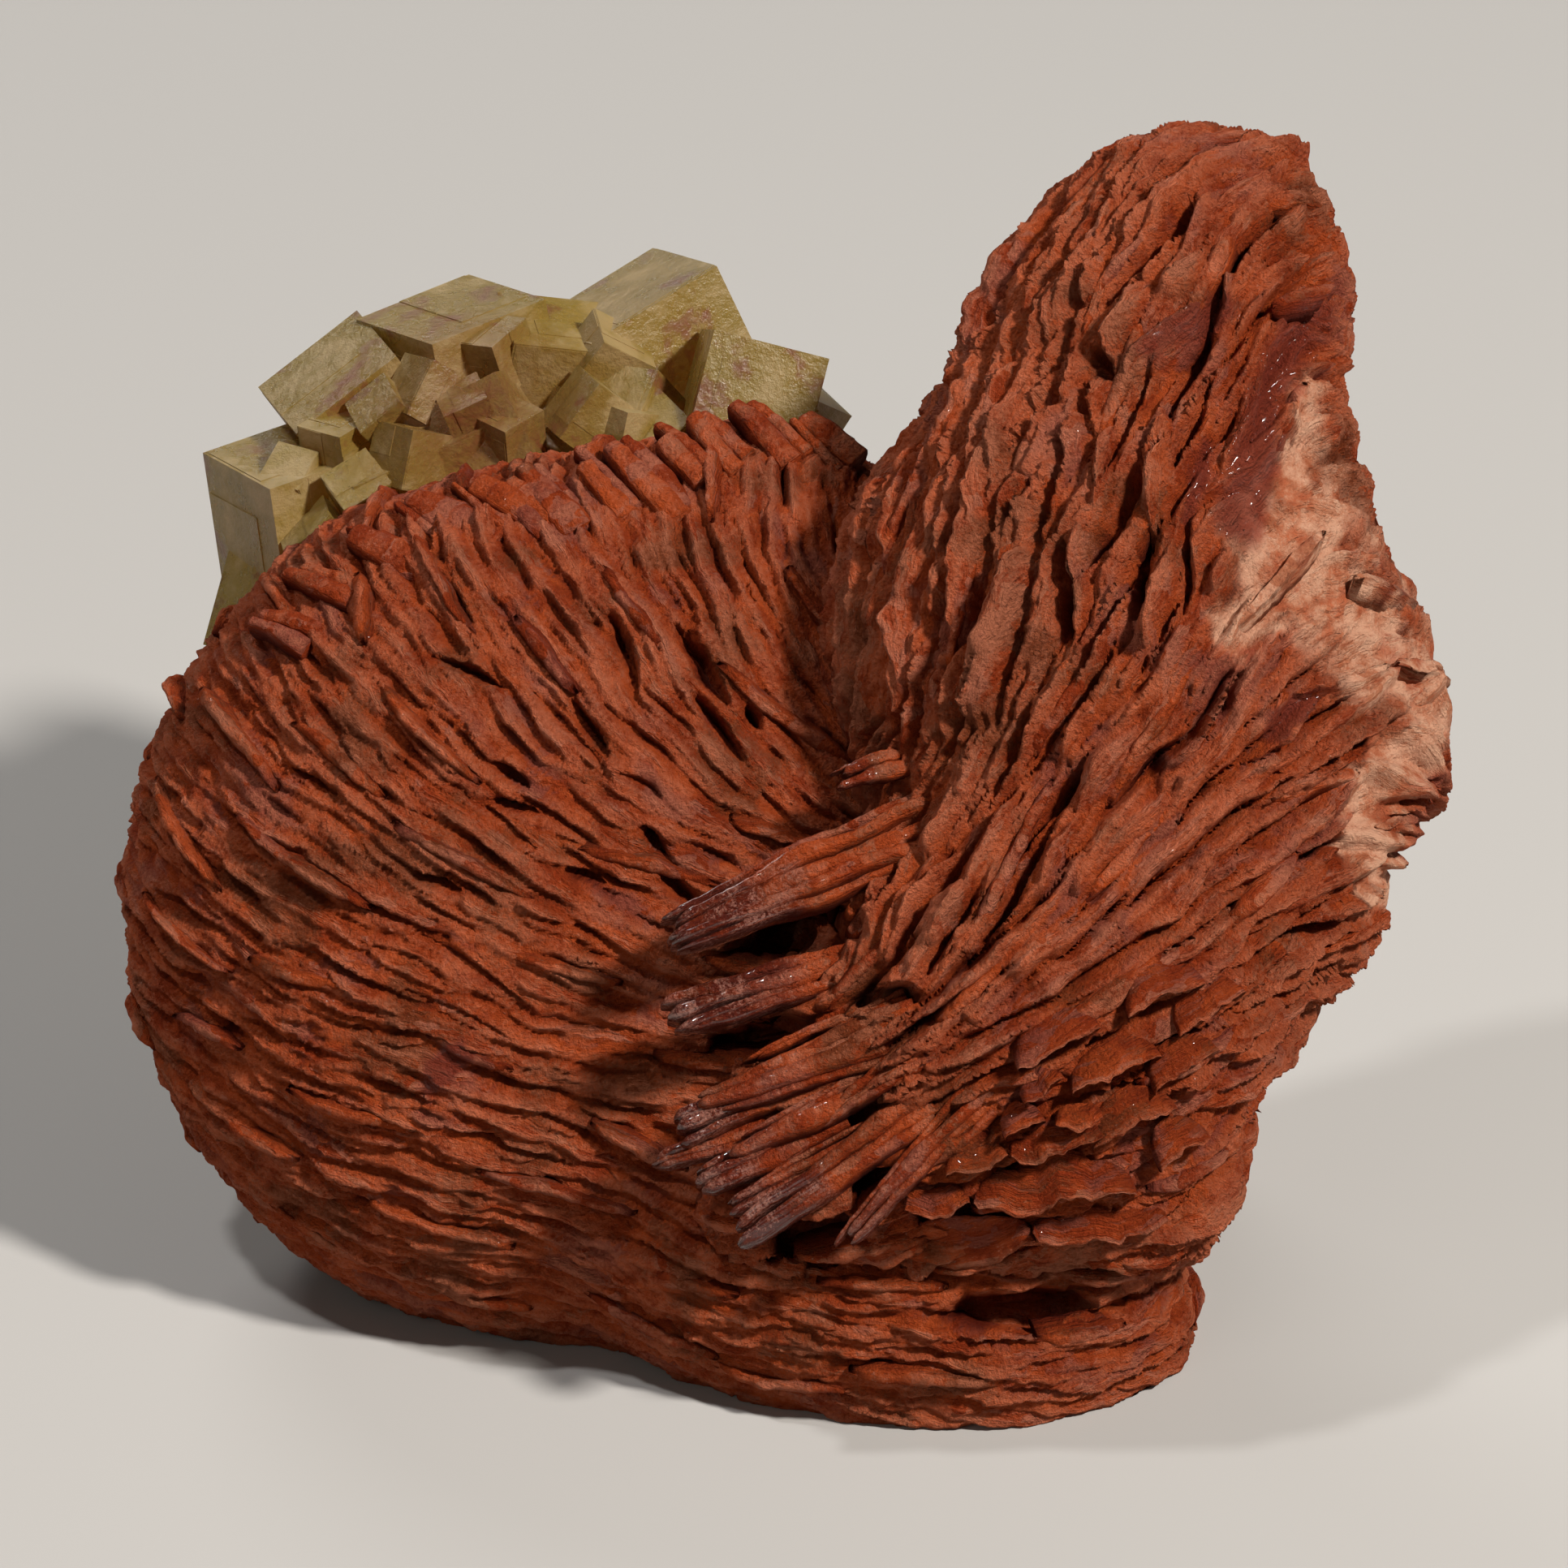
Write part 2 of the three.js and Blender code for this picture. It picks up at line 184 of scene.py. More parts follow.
@dataclass(frozen=True)
class FaceFrame:
    """How the face frame stands in the row frame, in millimetres and degrees.

    The box is the solid's own, in metres, and placed points stay inside it.
    """

    box: tuple[Vector, Vector]
    lean: float = 30.0
    drop: float = 31.5
    shift: Pair = (0.473, -6.647)
    margin: float = 1.6
    lowest: float = 0.05

    def matrix(self) -> Matrix:
        """Works out how the face frame is placed.

        Returns:
            The matrix from face millimetres to row metres.
        """
        turn = Matrix.Rotation(math.radians(90.0 - self.lean), 4, "X")
        place = Matrix.Translation(Vector((*self.shift, self.drop)))
        return Matrix.Scale(METRES, 4) @ place @ turn

    def to_row(self, points: Array) -> Array:
        """Turns points in face millimetres into row metres, inside the solid's box.

        Args:
            points: N by 3 places in the face frame.

        Returns:
            N by 3 places in the row frame. Near the box's sides they are pressed in softly,
            and none is below the floor.
        """
        matrix = np.array(self.matrix())
        placed = points @ matrix[:3, :3].T + matrix[:3, 3]
        margin = self.margin * METRES
        for axis in range(3):
            middle = (self.box[0][axis] + self.box[1][axis]) / 2.0
            edge = (self.box[1][axis] - self.box[0][axis]) / 2.0 - margin
            away = placed[:, axis] - middle
            beyond = np.maximum(np.abs(away) - edge, 0.0)
            held = np.minimum(np.abs(away), edge) + 0.98 * margin * np.tanh(beyond / margin)
            free = (away < 0.0) if axis == 2 else np.zeros(len(away), dtype=bool)
            placed[:, axis] = np.where(free, placed[:, axis], middle + np.sign(away) * held)
        placed[:, 2] = np.maximum(placed[:, 2], self.lowest * METRES)
        return placed

    def height(self, points: Array) -> Array:
        """Height of face points over the ground, in millimetres."""
        lean = math.radians(self.lean)
        return points[..., 1] * math.cos(lean) + points[..., 2] * math.sin(lean) + self.drop


@dataclass(frozen=True)
class Lump:
    """One egg-shaped lump of a fan: middle, half sizes, and its turn in the face."""

    at: Triple
    half: Triple
    turn: float = 0.0

    def distance(self, points: Array) -> Array:
        """Distance to the lump's surface, negative inside.

        Args:
            points: places in the face frame, on the last axis.

        Returns:
            One distance in millimetres for each place.
        """
        away = points - np.array(self.at)
        local = np.stack([*split_turned(away, self.turn), away[..., 2]], axis=-1)
        near = np.linalg.norm(local / np.array(self.half), axis=-1)
        steep = np.linalg.norm(local / np.array(self.half) ** 2, axis=-1)
        return near * (near - 1.0) / np.maximum(steep, 1e-9)


@dataclass(frozen=True)
class GrainRow:
    """How blades lie at one height: edge angle, its change to the right, and tip."""

    height: float
    angle: float
    spread: float
    tip: float


@dataclass(frozen=True)
class FanForm:
    """The form of one fan: its blended lumps and the grain of its blades."""

    name: str
    lumps: tuple[Lump, ...]
    rows: tuple[GrainRow, ...]
    middle: float
    heart: Triple
    blend: float = 1.6
    most_flat: float = 0.86
    most_lean: float = 0.78
    search: Triple = (26.0, -14.0, -0.25)

    def distance(self, points: Array) -> Array:
        """Distance to the fan's blended surface, negative inside."""
        sums = sum(np.exp(-lump.distance(points) / self.blend) for lump in self.lumps)
        return -self.blend * np.log(sums)

    def normal(self, points: Array) -> Array:
        """Outward normals of the blended surface.

        Args:
            points: places near the surface.

        Returns:
            A unit vector for each place.
        """
        step = 0.05
        slope = [
            self.distance(points + step * axis) - self.distance(points - step * axis)
            for axis in np.eye(3)
        ]
        return unit(np.stack(slope, axis=-1))

    def settled(self, points: Array, rounds: int = 4) -> Array:
        """The nearest surface points, found in a few steps.

        Args:
            points: places near the surface.
            rounds: how many steps to take.

        Returns:
            Places on it.
        """
        found = np.array(points, dtype=float)
        for _ in range(rounds):
            found -= self.normal(found) * self.distance(found)[..., None]
        return found

    def reached(self, rays: Array) -> Array:
        """Where rays from the fan's heart meet its surface.

        Args:
            rays: N unit vectors.

        Returns:
            N places on the surface.
        """
        heart = np.array(self.heart)
        near, far = np.zeros(len(rays)), np.full(len(rays), FURTHEST)
        for _ in range(HALVINGS):
            middle = (near + far) / 2.0
            inside = self.distance(heart + rays * middle[:, None]) < 0.0
            near, far = np.where(inside, middle, near), np.where(inside, far, middle)
        return heart + rays * near[:, None]

    def front(self, flat: Array) -> Array:
        """How far out the fan's front lies over some u and v.

        Args:
            flat: N by 2 places in the face.

        Returns:
            N values of w.
        """
        depths = np.arange(*self.search)
        spread = np.broadcast_to(flat[:, None], (len(flat), len(depths), 2))
        steps = np.broadcast_to(depths[None, :, None], (len(flat), len(depths), 1))
        inside = self.distance(np.concatenate([spread, steps], axis=2)) < 0.0
        low = depths[np.where(inside.any(axis=1), inside.argmax(axis=1), len(depths) - 1)]
        high = low - self.search[2]
        for _ in range(5):
            middle = (low + high) / 2.0
            within = self.distance(np.column_stack([flat, middle])) < 0.0
            low, high = np.where(within, middle, low), np.where(within, high, middle)
        return low

    def across(self, points: Array) -> Array:
        """The direction square to the blades' broad faces.

        Args:
            points: places in the face frame.

        Returns:
            A unit vector for each place.
        """
        spread = self._read("spread", points) * (points[..., 0] - self.middle)
        angle = np.radians(self._read("angle", points) + spread)
        tip = np.radians(self._read("tip", points))
        return np.stack(
            [-np.sin(angle) * np.cos(tip), np.cos(angle) * np.cos(tip), np.sin(tip)], axis=-1
        )

    def lean(self, points: Array) -> Array:
        """Which side of a blade its raised rim is on, from -1 to 1 of its half width."""
        tip = np.radians(self._read("tip", points))
        return np.clip(-1.25 * np.sin(tip), -self.most_lean, self.most_lean)

    def _read(self, key: str, points: Array) -> Array:
        """One value of the rows of grain, at the height of each place."""
        heights = [row.height for row in self.rows]
        return np.interp(points[..., 1], heights, [getattr(row, key) for row in self.rows])

    def plate_axes(self, normal: Array, across: Array) -> tuple[Array, Array, Array]:
        """Axes of plates that stand on the surface.

        Args:
            normal: the surface's outward normals.
            across: the wanted directions across the plates.

        Returns:
            The directions along the plates' edges, out of the body and across the plates.
            No plate leans over by more than most_flat allows.
        """
        facing = dot(across, normal)
        flat = unit(across - facing * normal)
        held = np.clip(facing, -self.most_flat, self.most_flat)
        across = flat * np.sqrt(1.0 - held**2) + normal * held
        out = unit(normal - dot(normal, across) * across)
        return np.cross(out, across), out, across


LEFT_FAN = FanForm(
    name="left_fan",
    lumps=(
        Lump((-13, -7, -8), (27, 27, 15.5)), Lump((5.5, -28.4, -4), (20, 11.6, 12), -17),
        Lump((-2, 7.5, -9), (14, 14.5, 11)), Lump((-1, -8, -18), (22, 18, 12)),
        Lump((2, -18, -21), (22, 11, 13)),
    ),
    rows=(
        GrainRow(-38, -12, 0, 36), GrainRow(-25, -10, 0, 34), GrainRow(-12, -20, -0.15, 30),
        GrainRow(0, -31, -0.3, 24), GrainRow(8, -46, -0.8, 20), GrainRow(24, -56, -0.8, 16),
    ),
    middle=-15,
    heart=(-6, -10, -9),
)
RIGHT_FAN = FanForm(
    name="right_fan",
    lumps=(
        Lump((22.2, 25.4, 2), (14, 10.4, 9), 65), Lump((19.6, 9, 3), (18, 16.3, 11.5), 80),
        Lump((14.3, -13.3, 4), (18.5, 13.4, 12), 40), Lump((26.5, -4.5, 1), (9.5, 9.5, 8)),
        Lump((32, 4.8, -1), (8, 8.6, 7)), Lump((20, -22, 2), (6.5, 7.5, 7)),
        Lump((2.1, -22.6, 6), (7.5, 5, 5), 30),
    ),
    rows=(
        GrainRow(-30, 5, -0.6, 44), GrainRow(-20, 22, -1, 36), GrainRow(-10, 40, -1.4, 16),
        GrainRow(0, 55, -0.9, -14), GrainRow(10, 70, -0.9, -28), GrainRow(20, 77, -0.3, -32),
        GrainRow(38, 60, -0.3, -32),
    ),
    middle=15,
    heart=(17, 3, 2),
)


@dataclass(frozen=True)
class Hollow:
    """A dark opening in the rock: its middle and half sizes in the face, depth and turn."""

    at: Pair
    half: Pair
    depth: float
    turn: float = 0.0

    def share(self, points: Array) -> Array:
        """How far each place lies within the opening.

        Args:
            points: N by 3 places in the face frame.

        Returns:
            N values from 0, outside, to 1 in the opening's middle.
        """
        along, across = split_turned(points[:, :2] - np.array(self.at), self.turn)
        away = np.hypot(along / self.half[0], across / self.half[1])
        away = away + 0.32 * noise(points, 1.3, 45)
        inside = 1.0 - rising(0.5, 1.0, away)
        return inside * rising(-3.0, 1.0, points[:, 2])


HOLLOWS = (
    Hollow((14.2, -30.9), (4.6, 1.5), 4.2, 4), Hollow((0.9, -8.9), (4.4, 2.0), 6.0, 12),
    Hollow((-0.4, -14.9), (4.8, 1.4), 5.0, 10), Hollow((5.8, -12.2), (1.9, 0.9), 3.5, 10),
    Hollow((3.6, -19.8), (4.2, 0.8), 3.5, 27), Hollow((5.4, -22.6), (2.6, 1.4), 4.5, 52),
    Hollow((1.6, -26.5), (3.4, 1.7), 5.0, 8), Hollow((10.4, -24.9), (3.8, 1.2), 3.5, -6),
    Hollow((-4.4, -21.6), (1.8, 0.8), 3.0, 10),
)


class Shade(Enum):
    """Vertex values that the mineral finishes read by name."""

    # How high a place stands on its blade: the finish paints shade where it is low and a highlight
    # where it is high.
    RIM = "rim"
    TONE = "tone"
    PALE = "pale"
    WINE = "wine"
    GLOSS = "gloss"
    LAYER = "layer"
    BORDER = "border"


Shades = dict[Shade, Array]


@dataclass(frozen=True)
class Patch:
    """A stained or broken area of the face: a line in u and v, and how wide it reaches."""

    line: tuple[Pair, ...]
    reach: float
    ragged: float

    def strength(self, points: Array) -> Array:
        """How strongly the patch shows at each place.

        Args:
            points: N by 3 places in the face frame.

        Returns:
            N values from 0, outside, to 1 in the patch's middle.
        """
        flat = points[:, :2]
        nearest = np.full(len(flat), np.inf)
        for start, end in zip(self.line, self.line[1:]):
            a, b = np.array(start), np.array(end)
            share = np.clip(((flat - a) @ (b - a)) / ((b - a) @ (b - a)), 0.0, 1.0)
            gap = np.linalg.norm(flat - a - share[:, None] * (b - a), axis=1)
            nearest = np.minimum(nearest, gap)
        nearest += self.ragged * noise(points, 2.2, 31)
        nearest += 0.5 * self.ragged * noise(points, 0.8, 32)
        return 1.0 - rising(0.35 * self.reach, self.reach, nearest)


PALE_PATCHES = (
    Patch(((31.5, 13.8), (34.5, 8.8), (38.2, 6.2)), 5.4, 2.0),
    Patch(((31.0, 23), (30.4, 17.5)), 1.7, 0.6), Patch(((30, 11), (26.6, 8.6)), 2.0, 1.2),
    Patch(((37, 2.5), (34.5, 0.5), (33.5, -3), (36, -6)), 2.6, 1.8),
)
SHEETED = Patch(((9, -25), (14, -20), (20, -18)), 8.0, 1.0)
WINE_PATCHES = (
    Patch(((27.2, 15.4), (28.0, 19.7), (29.0, 23.6), (31.2, 27.4)), 1.8, 0.5),
    Patch(((22.6, 25.6), (25.2, 27.6)), 1.5, 0.9), Patch(((25.2, 19.8), (23.9, 15.3)), 0.7, 0.4),
    Patch(((28.6, 3.2), (31.0, 4.8)), 0.8, 0.5), Patch(((-19.5, -16), (-21, -18)), 1.1, 0.8),
)


def face_shades(points: Array) -> Shades:
    """The stained and broken areas at some places of the face.

    Args:
        points: N by 3 places in the face frame.

    Returns:
        The pale and the wine-red areas, N values each.
    """
    front = rising(*FADES_BEHIND, points[:, 2])
    pale = np.max([patch.strength(points) for patch in PALE_PATCHES], axis=0)
    wine = np.max([patch.strength(points) for patch in WINE_PATCHES], axis=0)
    return {Shade.PALE: pale * (0.35 + 0.65 * front), Shade.WINE: wine * front}


def put_in_scene(name: str, data: bpy.types.ID) -> Piece:
    """Makes an object and puts it in the scene.

    Args:
        name: its name.
        data: what it shows.

    Returns:
        The object.
    """
    piece = bpy.data.objects.new(name, data)
    bpy.context.scene.collection.objects.link(piece)
    return piece


def modify(piece: Piece, kind: str, **settings: object) -> None:
    """Gives an object a modifier.

    Args:
        piece: the object.
        kind: the modifier's type.
        **settings: its properties.
    """
    modifier = piece.modifiers.new(kind.lower(), kind)
    for key, value in settings.items():
        setattr(modifier, key, value)


def build_mesh(
    name: str, vertices: Array, quads: Array, shades: Shades, material: Material
) -> Piece:
    """Makes a dressed object from vertices in row metres and faces of four corners.

    Args:
        name: the object's name.
        vertices: N by 3 places.
        quads: M by 4 vertex numbers.
        shades: values for the finish, N for each name.
        material: the finish.

    Returns:
        The new object, with smooth shading.
    """
    mesh = bpy.data.meshes.new(name)
    mesh.vertices.add(len(vertices))
    mesh.vertices.foreach_set("co", vertices.astype(np.float32).ravel())
    mesh.loops.add(quads.size)
    mesh.loops.foreach_set("vertex_index", quads.astype(np.int32).ravel())
    mesh.polygons.add(len(quads))
    mesh.polygons.foreach_set("loop_start", np.arange(0, quads.size, 4, dtype=np.int32))
    mesh.polygons.foreach_set("use_smooth", np.ones(len(quads), dtype=bool))
    mesh.update(calc_edges=True)
    for shade in Shade:
        wide = shade is Shade.LAYER
        values = shades.get(shade, np.zeros((len(vertices), 3) if wide else len(vertices)))
        kind, key = ("FLOAT_VECTOR", "vector") if wide else ("FLOAT", "value")
        attribute = mesh.attributes.new(shade.value, kind, "POINT")
        attribute.data.foreach_set(key, values.astype(np.float32).ravel())
    mesh.materials.append(material)
    mesh.validate()
    return put_in_scene(name, mesh)


def gathered(made: list[tuple[Array, Shades]]) -> tuple[Array, Shades]:
    """Puts several bodies together.

    Args:
        made: each body's vertices in face millimetres and its values for the finish.

    Returns:
        All vertices and their values, the stained areas too.
    """
    vertices = np.concatenate([points for points, _ in made])
    shades = face_shades(vertices)
    for shade in made[0][1]:
        shades[shade] = np.concatenate([values[shade] for _, values in made])
    return vertices, shades


def tube_quads(count: int, rings: int, sides: int) -> Array:
    """Faces of closed tubes, each of a row of rings with flat ends.

    Args:
        count: how many tubes.
        rings: rings of each tube.
        sides: vertices of each ring, an even number.

    Returns:
        Four vertex numbers for each face; the tubes are stored one after another.
    """
    ring = np.arange(sides)
    after = np.roll(ring, -1)
    wall = [
        np.stack([a + ring, a + after, a + sides + after, a + sides + ring], axis=1)
        for a in np.arange(rings - 1) * sides
    ]
    strip = np.arange(sides // 2 - 1)
    first = np.stack([strip, sides - 1 - strip, sides - 2 - strip, strip + 1], axis=1)
    last = first[:, ::-1] + (rings - 1) * sides
    one = np.concatenate([*wall, first, last])
    starts = np.arange(count) * rings * sides
    return (one[None] + starts[:, None, None]).reshape(-1, 4)


class Region(Enum):
    """The parts that the rock's skin is split into, each of them one piece."""

    LEFT_UPPER = "left_fan_upper"
    LEFT_LOWER = "left_fan_lower"
    LEFT_BACK = "left_fan_back"
    RIGHT_UPPER = "right_fan_upper"
    RIGHT_LOWER = "right_fan_lower"
    RIGHT_BACK = "right_fan_back"


@dataclass(frozen=True)
class LeafSize:
    """One size of packed blade, in millimetres, and how far apart such blades start."""

    length: Pair
    width: Pair
    height: Pair
    along: float
    across: float
    tried: int


@dataclass
class Leaves:
    """Packed blades, one row in every array: places, axes, sizes and a colour tone each."""

    at: Array
    axes: Array
    length: Array
    width: Array
    height: Array
    tone: Array

    def joined(self, others: "Leaves") -> "Leaves":
        """These blades and some others together."""
        both = zip(vars(self).values(), vars(others).values())
        return Leaves(*(np.concatenate(arrays) for arrays in both))


@dataclass(frozen=True)
class Ridge:
    """A blade or cleft that stands out: its lower and upper end in u and v, its width, its
    height or depth, and its tone."""

    foot: Pair
    head: Pair
    width: float
    height: float
    tone: float = 0.5


def ridges(*rows: tuple[float, ...]) -> tuple[Ridge, ...]:
    """Ridges from rows of foot, head, width, height and tone."""
    return tuple(Ridge(row[:2], row[2:4], *row[4:]) for row in rows)


@dataclass
class Relief:
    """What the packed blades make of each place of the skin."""

    height: Array
    ridge: Array
    tone: Array
    layer: Array


class SpotGrid:
    """Finds the places that lie in a box, among a great many."""

    def __init__(self, places: Array, cell: float) -> None:
        """Sorts the places into cells.

        Args:
            places: N by 3 places.
            cell: the width of a cell.
        """
        self.cell = cell
        keys = np.floor(places / cell).astype(np.int64)
        order = np.lexsort(keys.T)
        changes = np.flatnonzero(np.any(np.diff(keys[order], axis=0) != 0, axis=1)) + 1
        rows = np.split(order, changes)
        self.rows = {tuple(keys[row[0]]): row for row in rows}

    def within(self, low: Array, high: Array) -> Array:
        """Finds all places in the cells that a box touches.

        Args:
            low: the box's least corner.
            high: its greatest corner.

        Returns:
            The places' numbers.
        """
        first = np.floor(low / self.cell).astype(int)
        last = np.floor(high / self.cell).astype(int)
        spans = [range(a, b + 1) for a, b in zip(first, last)]
        found = [self.rows[key] for key in itertools.product(*spans) if key in self.rows]
        return np.concatenate(found) if found else np.empty(0, dtype=np.int64)


def spread_out(places: Array, axes: Array, along: float, across: float) -> list[int]:
    """Picks places that keep their distance, first come first served.

    Args:
        places: N by 3 candidate places.
        axes: N by 3 by 3, each place's along, side and outward directions as rows.
        along: least distance in the along and outward directions.
        across: least distance in the side direction.

    Returns:
        The numbers of the places that are kept.
    """
    scale = np.array([along, across, along])
    around = list(itertools.product((-1, 0, 1), repeat=3))
    held: dict[tuple[int, int, int], list[int]] = {}
    kept: list[int] = []
    keys = np.floor(places / along).astype(int).tolist()
    for number, (x, y, z) in enumerate(keys):
        near = [i for a, b, c in around for i in held.get((x + a, y + b, z + c), ())]
        if near:
            local = (places[near] - places[number]) @ axes[number].T / scale
            if np.min(np.sum(local**2, axis=1)) < 1.0:
                continue
        kept.append(number)
        held.setdefault((x, y, z), []).append(number)
    return kept


RIGHT_RIDGES = ridges(
    (12, 13.3, 13.4, 21.6, 2.5, 2.6, 0.55), (11.3, 24.3, 11.7, 27, 2.2, 2.4, 0.7),
    (15.6, 14.5, 17.5, 20.4, 2.1, 2.4, 0.5), (15.1, 17.8, 16.8, 27.5, 1.5, 2.2, 0.6),
    (18.7, 15.3, 20.5, 21.6, 2.2, 2.5, 0.45), (22.2, 13.2, 22.9, 22, 2.4, 3, 0.8),
    (20, 23.9, 22.3, 29.9, 2.2, 2.9, 0.6), (22.1, 27.3, 25.6, 31.1, 1.7, 2.6, 0.5),
    (20.4, 22.2, 25.5, 28.2, 2.7, 2.7, 0.15), (20.2, 31, 22.5, 34.6, 1.6, 2.4, 0.65),
    (22.2, 32.7, 23.7, 35.9, 1.5, 2.3, 0.4), (24, 20.3, 27.2, 26.3, 1.7, 2.4, 0.7),
    (25.9, 17.6, 29.1, 25.5, 1.5, 2.5, 0.75), (17, 21.4, 18.5, 26.1, 1.4, 2.2, 0.7),
    (13.1, 15.7, 14.5, 24.7, 1.6, 2.2, 0.5), (15.6, 25.4, 18.2, 30.9, 1.6, 2.2, 0.35),
    (18.4, 27.5, 19.8, 33, 1.9, 2.3, 0.9), (26.5, 26.9, 26.6, 31, 1.3, 2.5, 0.2),
    (10.9, 2.8, 15.8, 14.6, 3.9, 3.2, 0.25), (17.5, 8.1, 18.5, 15.9, 2, 2.8, 0.5),
    (18.3, 5.2, 21.2, 12.8, 2.2, 2.6, 0.55), (21.6, 6.6, 23.5, 14.1, 1.9, 2.8, 0.75),
    (21.8, -0.2, 27.3, 6, 3.1, 2.7, 0.2), (17.2, -2.5, 21.2, 3.6, 3, 2.6, 0.2),
    (8.5, -4.9, 11.3, 1.4, 2.2, 2.4, 0.6), (9.6, -6.9, 14.2, -0.8, 2.9, 2.5, 0.35),
    (14.1, -6.9, 18, -1.7, 1.9, 2.3, 0.6), (20.9, -8.3, 25.6, -4, 2.9, 2.2, 0.7),
    (7, -10.1, 10.6, -5.1, 2.5, 2.6, 0.45), (24.9, 9.8, 27.5, 13.5, 1.9, 2.3, 0.7),
    (13.7, 0.6, 17.3, 6.7, 2, 2.3, 0.55), (11.5, -1.4, 14.8, 4.8, 1.7, 2.2, 0.5),
    (15.6, 1.6, 18.7, 6.2, 1.8, 2.3, 0.65), (17.7, -5.7, 23.6, 0.4, 2.1, 2.2, 0.4),
    (10.3, -10.1, 14.5, -6.4, 1.6, 2.2, 0.6), (6.9, 0.1, 8.5, 7.2, 2.1, 2, 0.5),
    (9.6, 10.3, 10.8, 15, 2.4, 2.2, 0.6), (14.7, -10.9, 19.7, -6.5, 2.1, 2.2, 0.5),
    (25.9, 1.3, 30.3, 5.6, 2.4, 2.3, 0.5), (23, -4.6, 28.8, 0.8, 2.3, 2.2, 0.45),
)
RIGHT_CLEFTS = ridges(
    (16.8, 7.9, 16.8, 14.5, 1.5, 3.4), (10.4, -10.2, 16.3, -2, 0.8, 2.8),
    (15.6, -2.3, 17.8, 0.5, 0.8, 2.2), (20.7, -0.7, 27, 6.8, 0.9, 2.8),
    (21, 9.3, 21.5, 15.4, 0.8, 2.4), (18.8, 25.4, 20.1, 23.5, 1.4, 2.8),
    (23.1, 31.6, 24.8, 34, 0.8, 2.2), (23.3, 18, 25.6, 24.2, 0.7, 2.2),
    (25.9, 18.8, 28.7, 25.1, 0.5, 1.8), (23.5, 9.6, 24.5, 15.4, 0.7, 2),
    (17.9, 23.8, 18.7, 19.4, 0.5, 1.6), (12.9, 14.5, 15.3, 17.9, 0.6, 1.8),
    (15.2, -10.4, 20.1, -6, 0.6, 2), (7.5, -11.3, 10.9, -6, 0.6, 2.2),
)
LEFT_CLEFTS = ridges(
    (-10.6, 10.4, -8.5, 5.6, 0.9, 2.6), (-6.7, 9.8, -3.3, 4.8, 1.2, 3),
    (-12.8, 5.6, -10.4, 1.8, 0.8, 2.4), (-5.7, 5.9, -2.3, 1.4, 1, 2.6),
    (-21, 7.5, -16.6, 5.7, 0.7, 2), (-17.5, -0.8, -14.6, -1.5, 0.7, 2),
    (-8.3, -2.1, -6.2, -5.1, 0.7, 1.8), (-17.2, 1.5, -15.1, -0.1, 0.8, 1.8),
    (-22.8, -4.9, -19, -6.4, 0.7, 1.8), (-13.1, -4.7, -10.3, -5.6, 0.7, 1.8),
    (-2.3, 4.9, -1.1, 3.1, 1, 2.4), (-7.1, -5, -5.1, -7.5, 0.9, 2.4),
)
BROAD = LeafSize((9.0, 16.0), (2.4, 3.8), (1.5, 2.3), 8.0, 3.4, 9000)
LONG = LeafSize((9.0, 17.0), (1.9, 2.8), (1.3, 2.0), 6.0, 1.4, 16000)
MIDDLING = LeafSize((5.0, 10.0), (1.1, 1.8), (1.2, 2.0), 3.8, 0.95, 26000)
SLIVER = LeafSize((2.6, 5.5), (0.6, 1.0), (1.0, 1.8), 2.4, 0.66, 36000)
CRACKS = LeafSize((3.5, 9.0), (0.4, 0.75), (0.9, 2.0), 4.5, 2.0, 14000)
DEEP_CRACKS = LeafSize((6.0, 15.0), (0.45, 0.9), (1.4, 2.8), 6.5, 2.8, 14000)


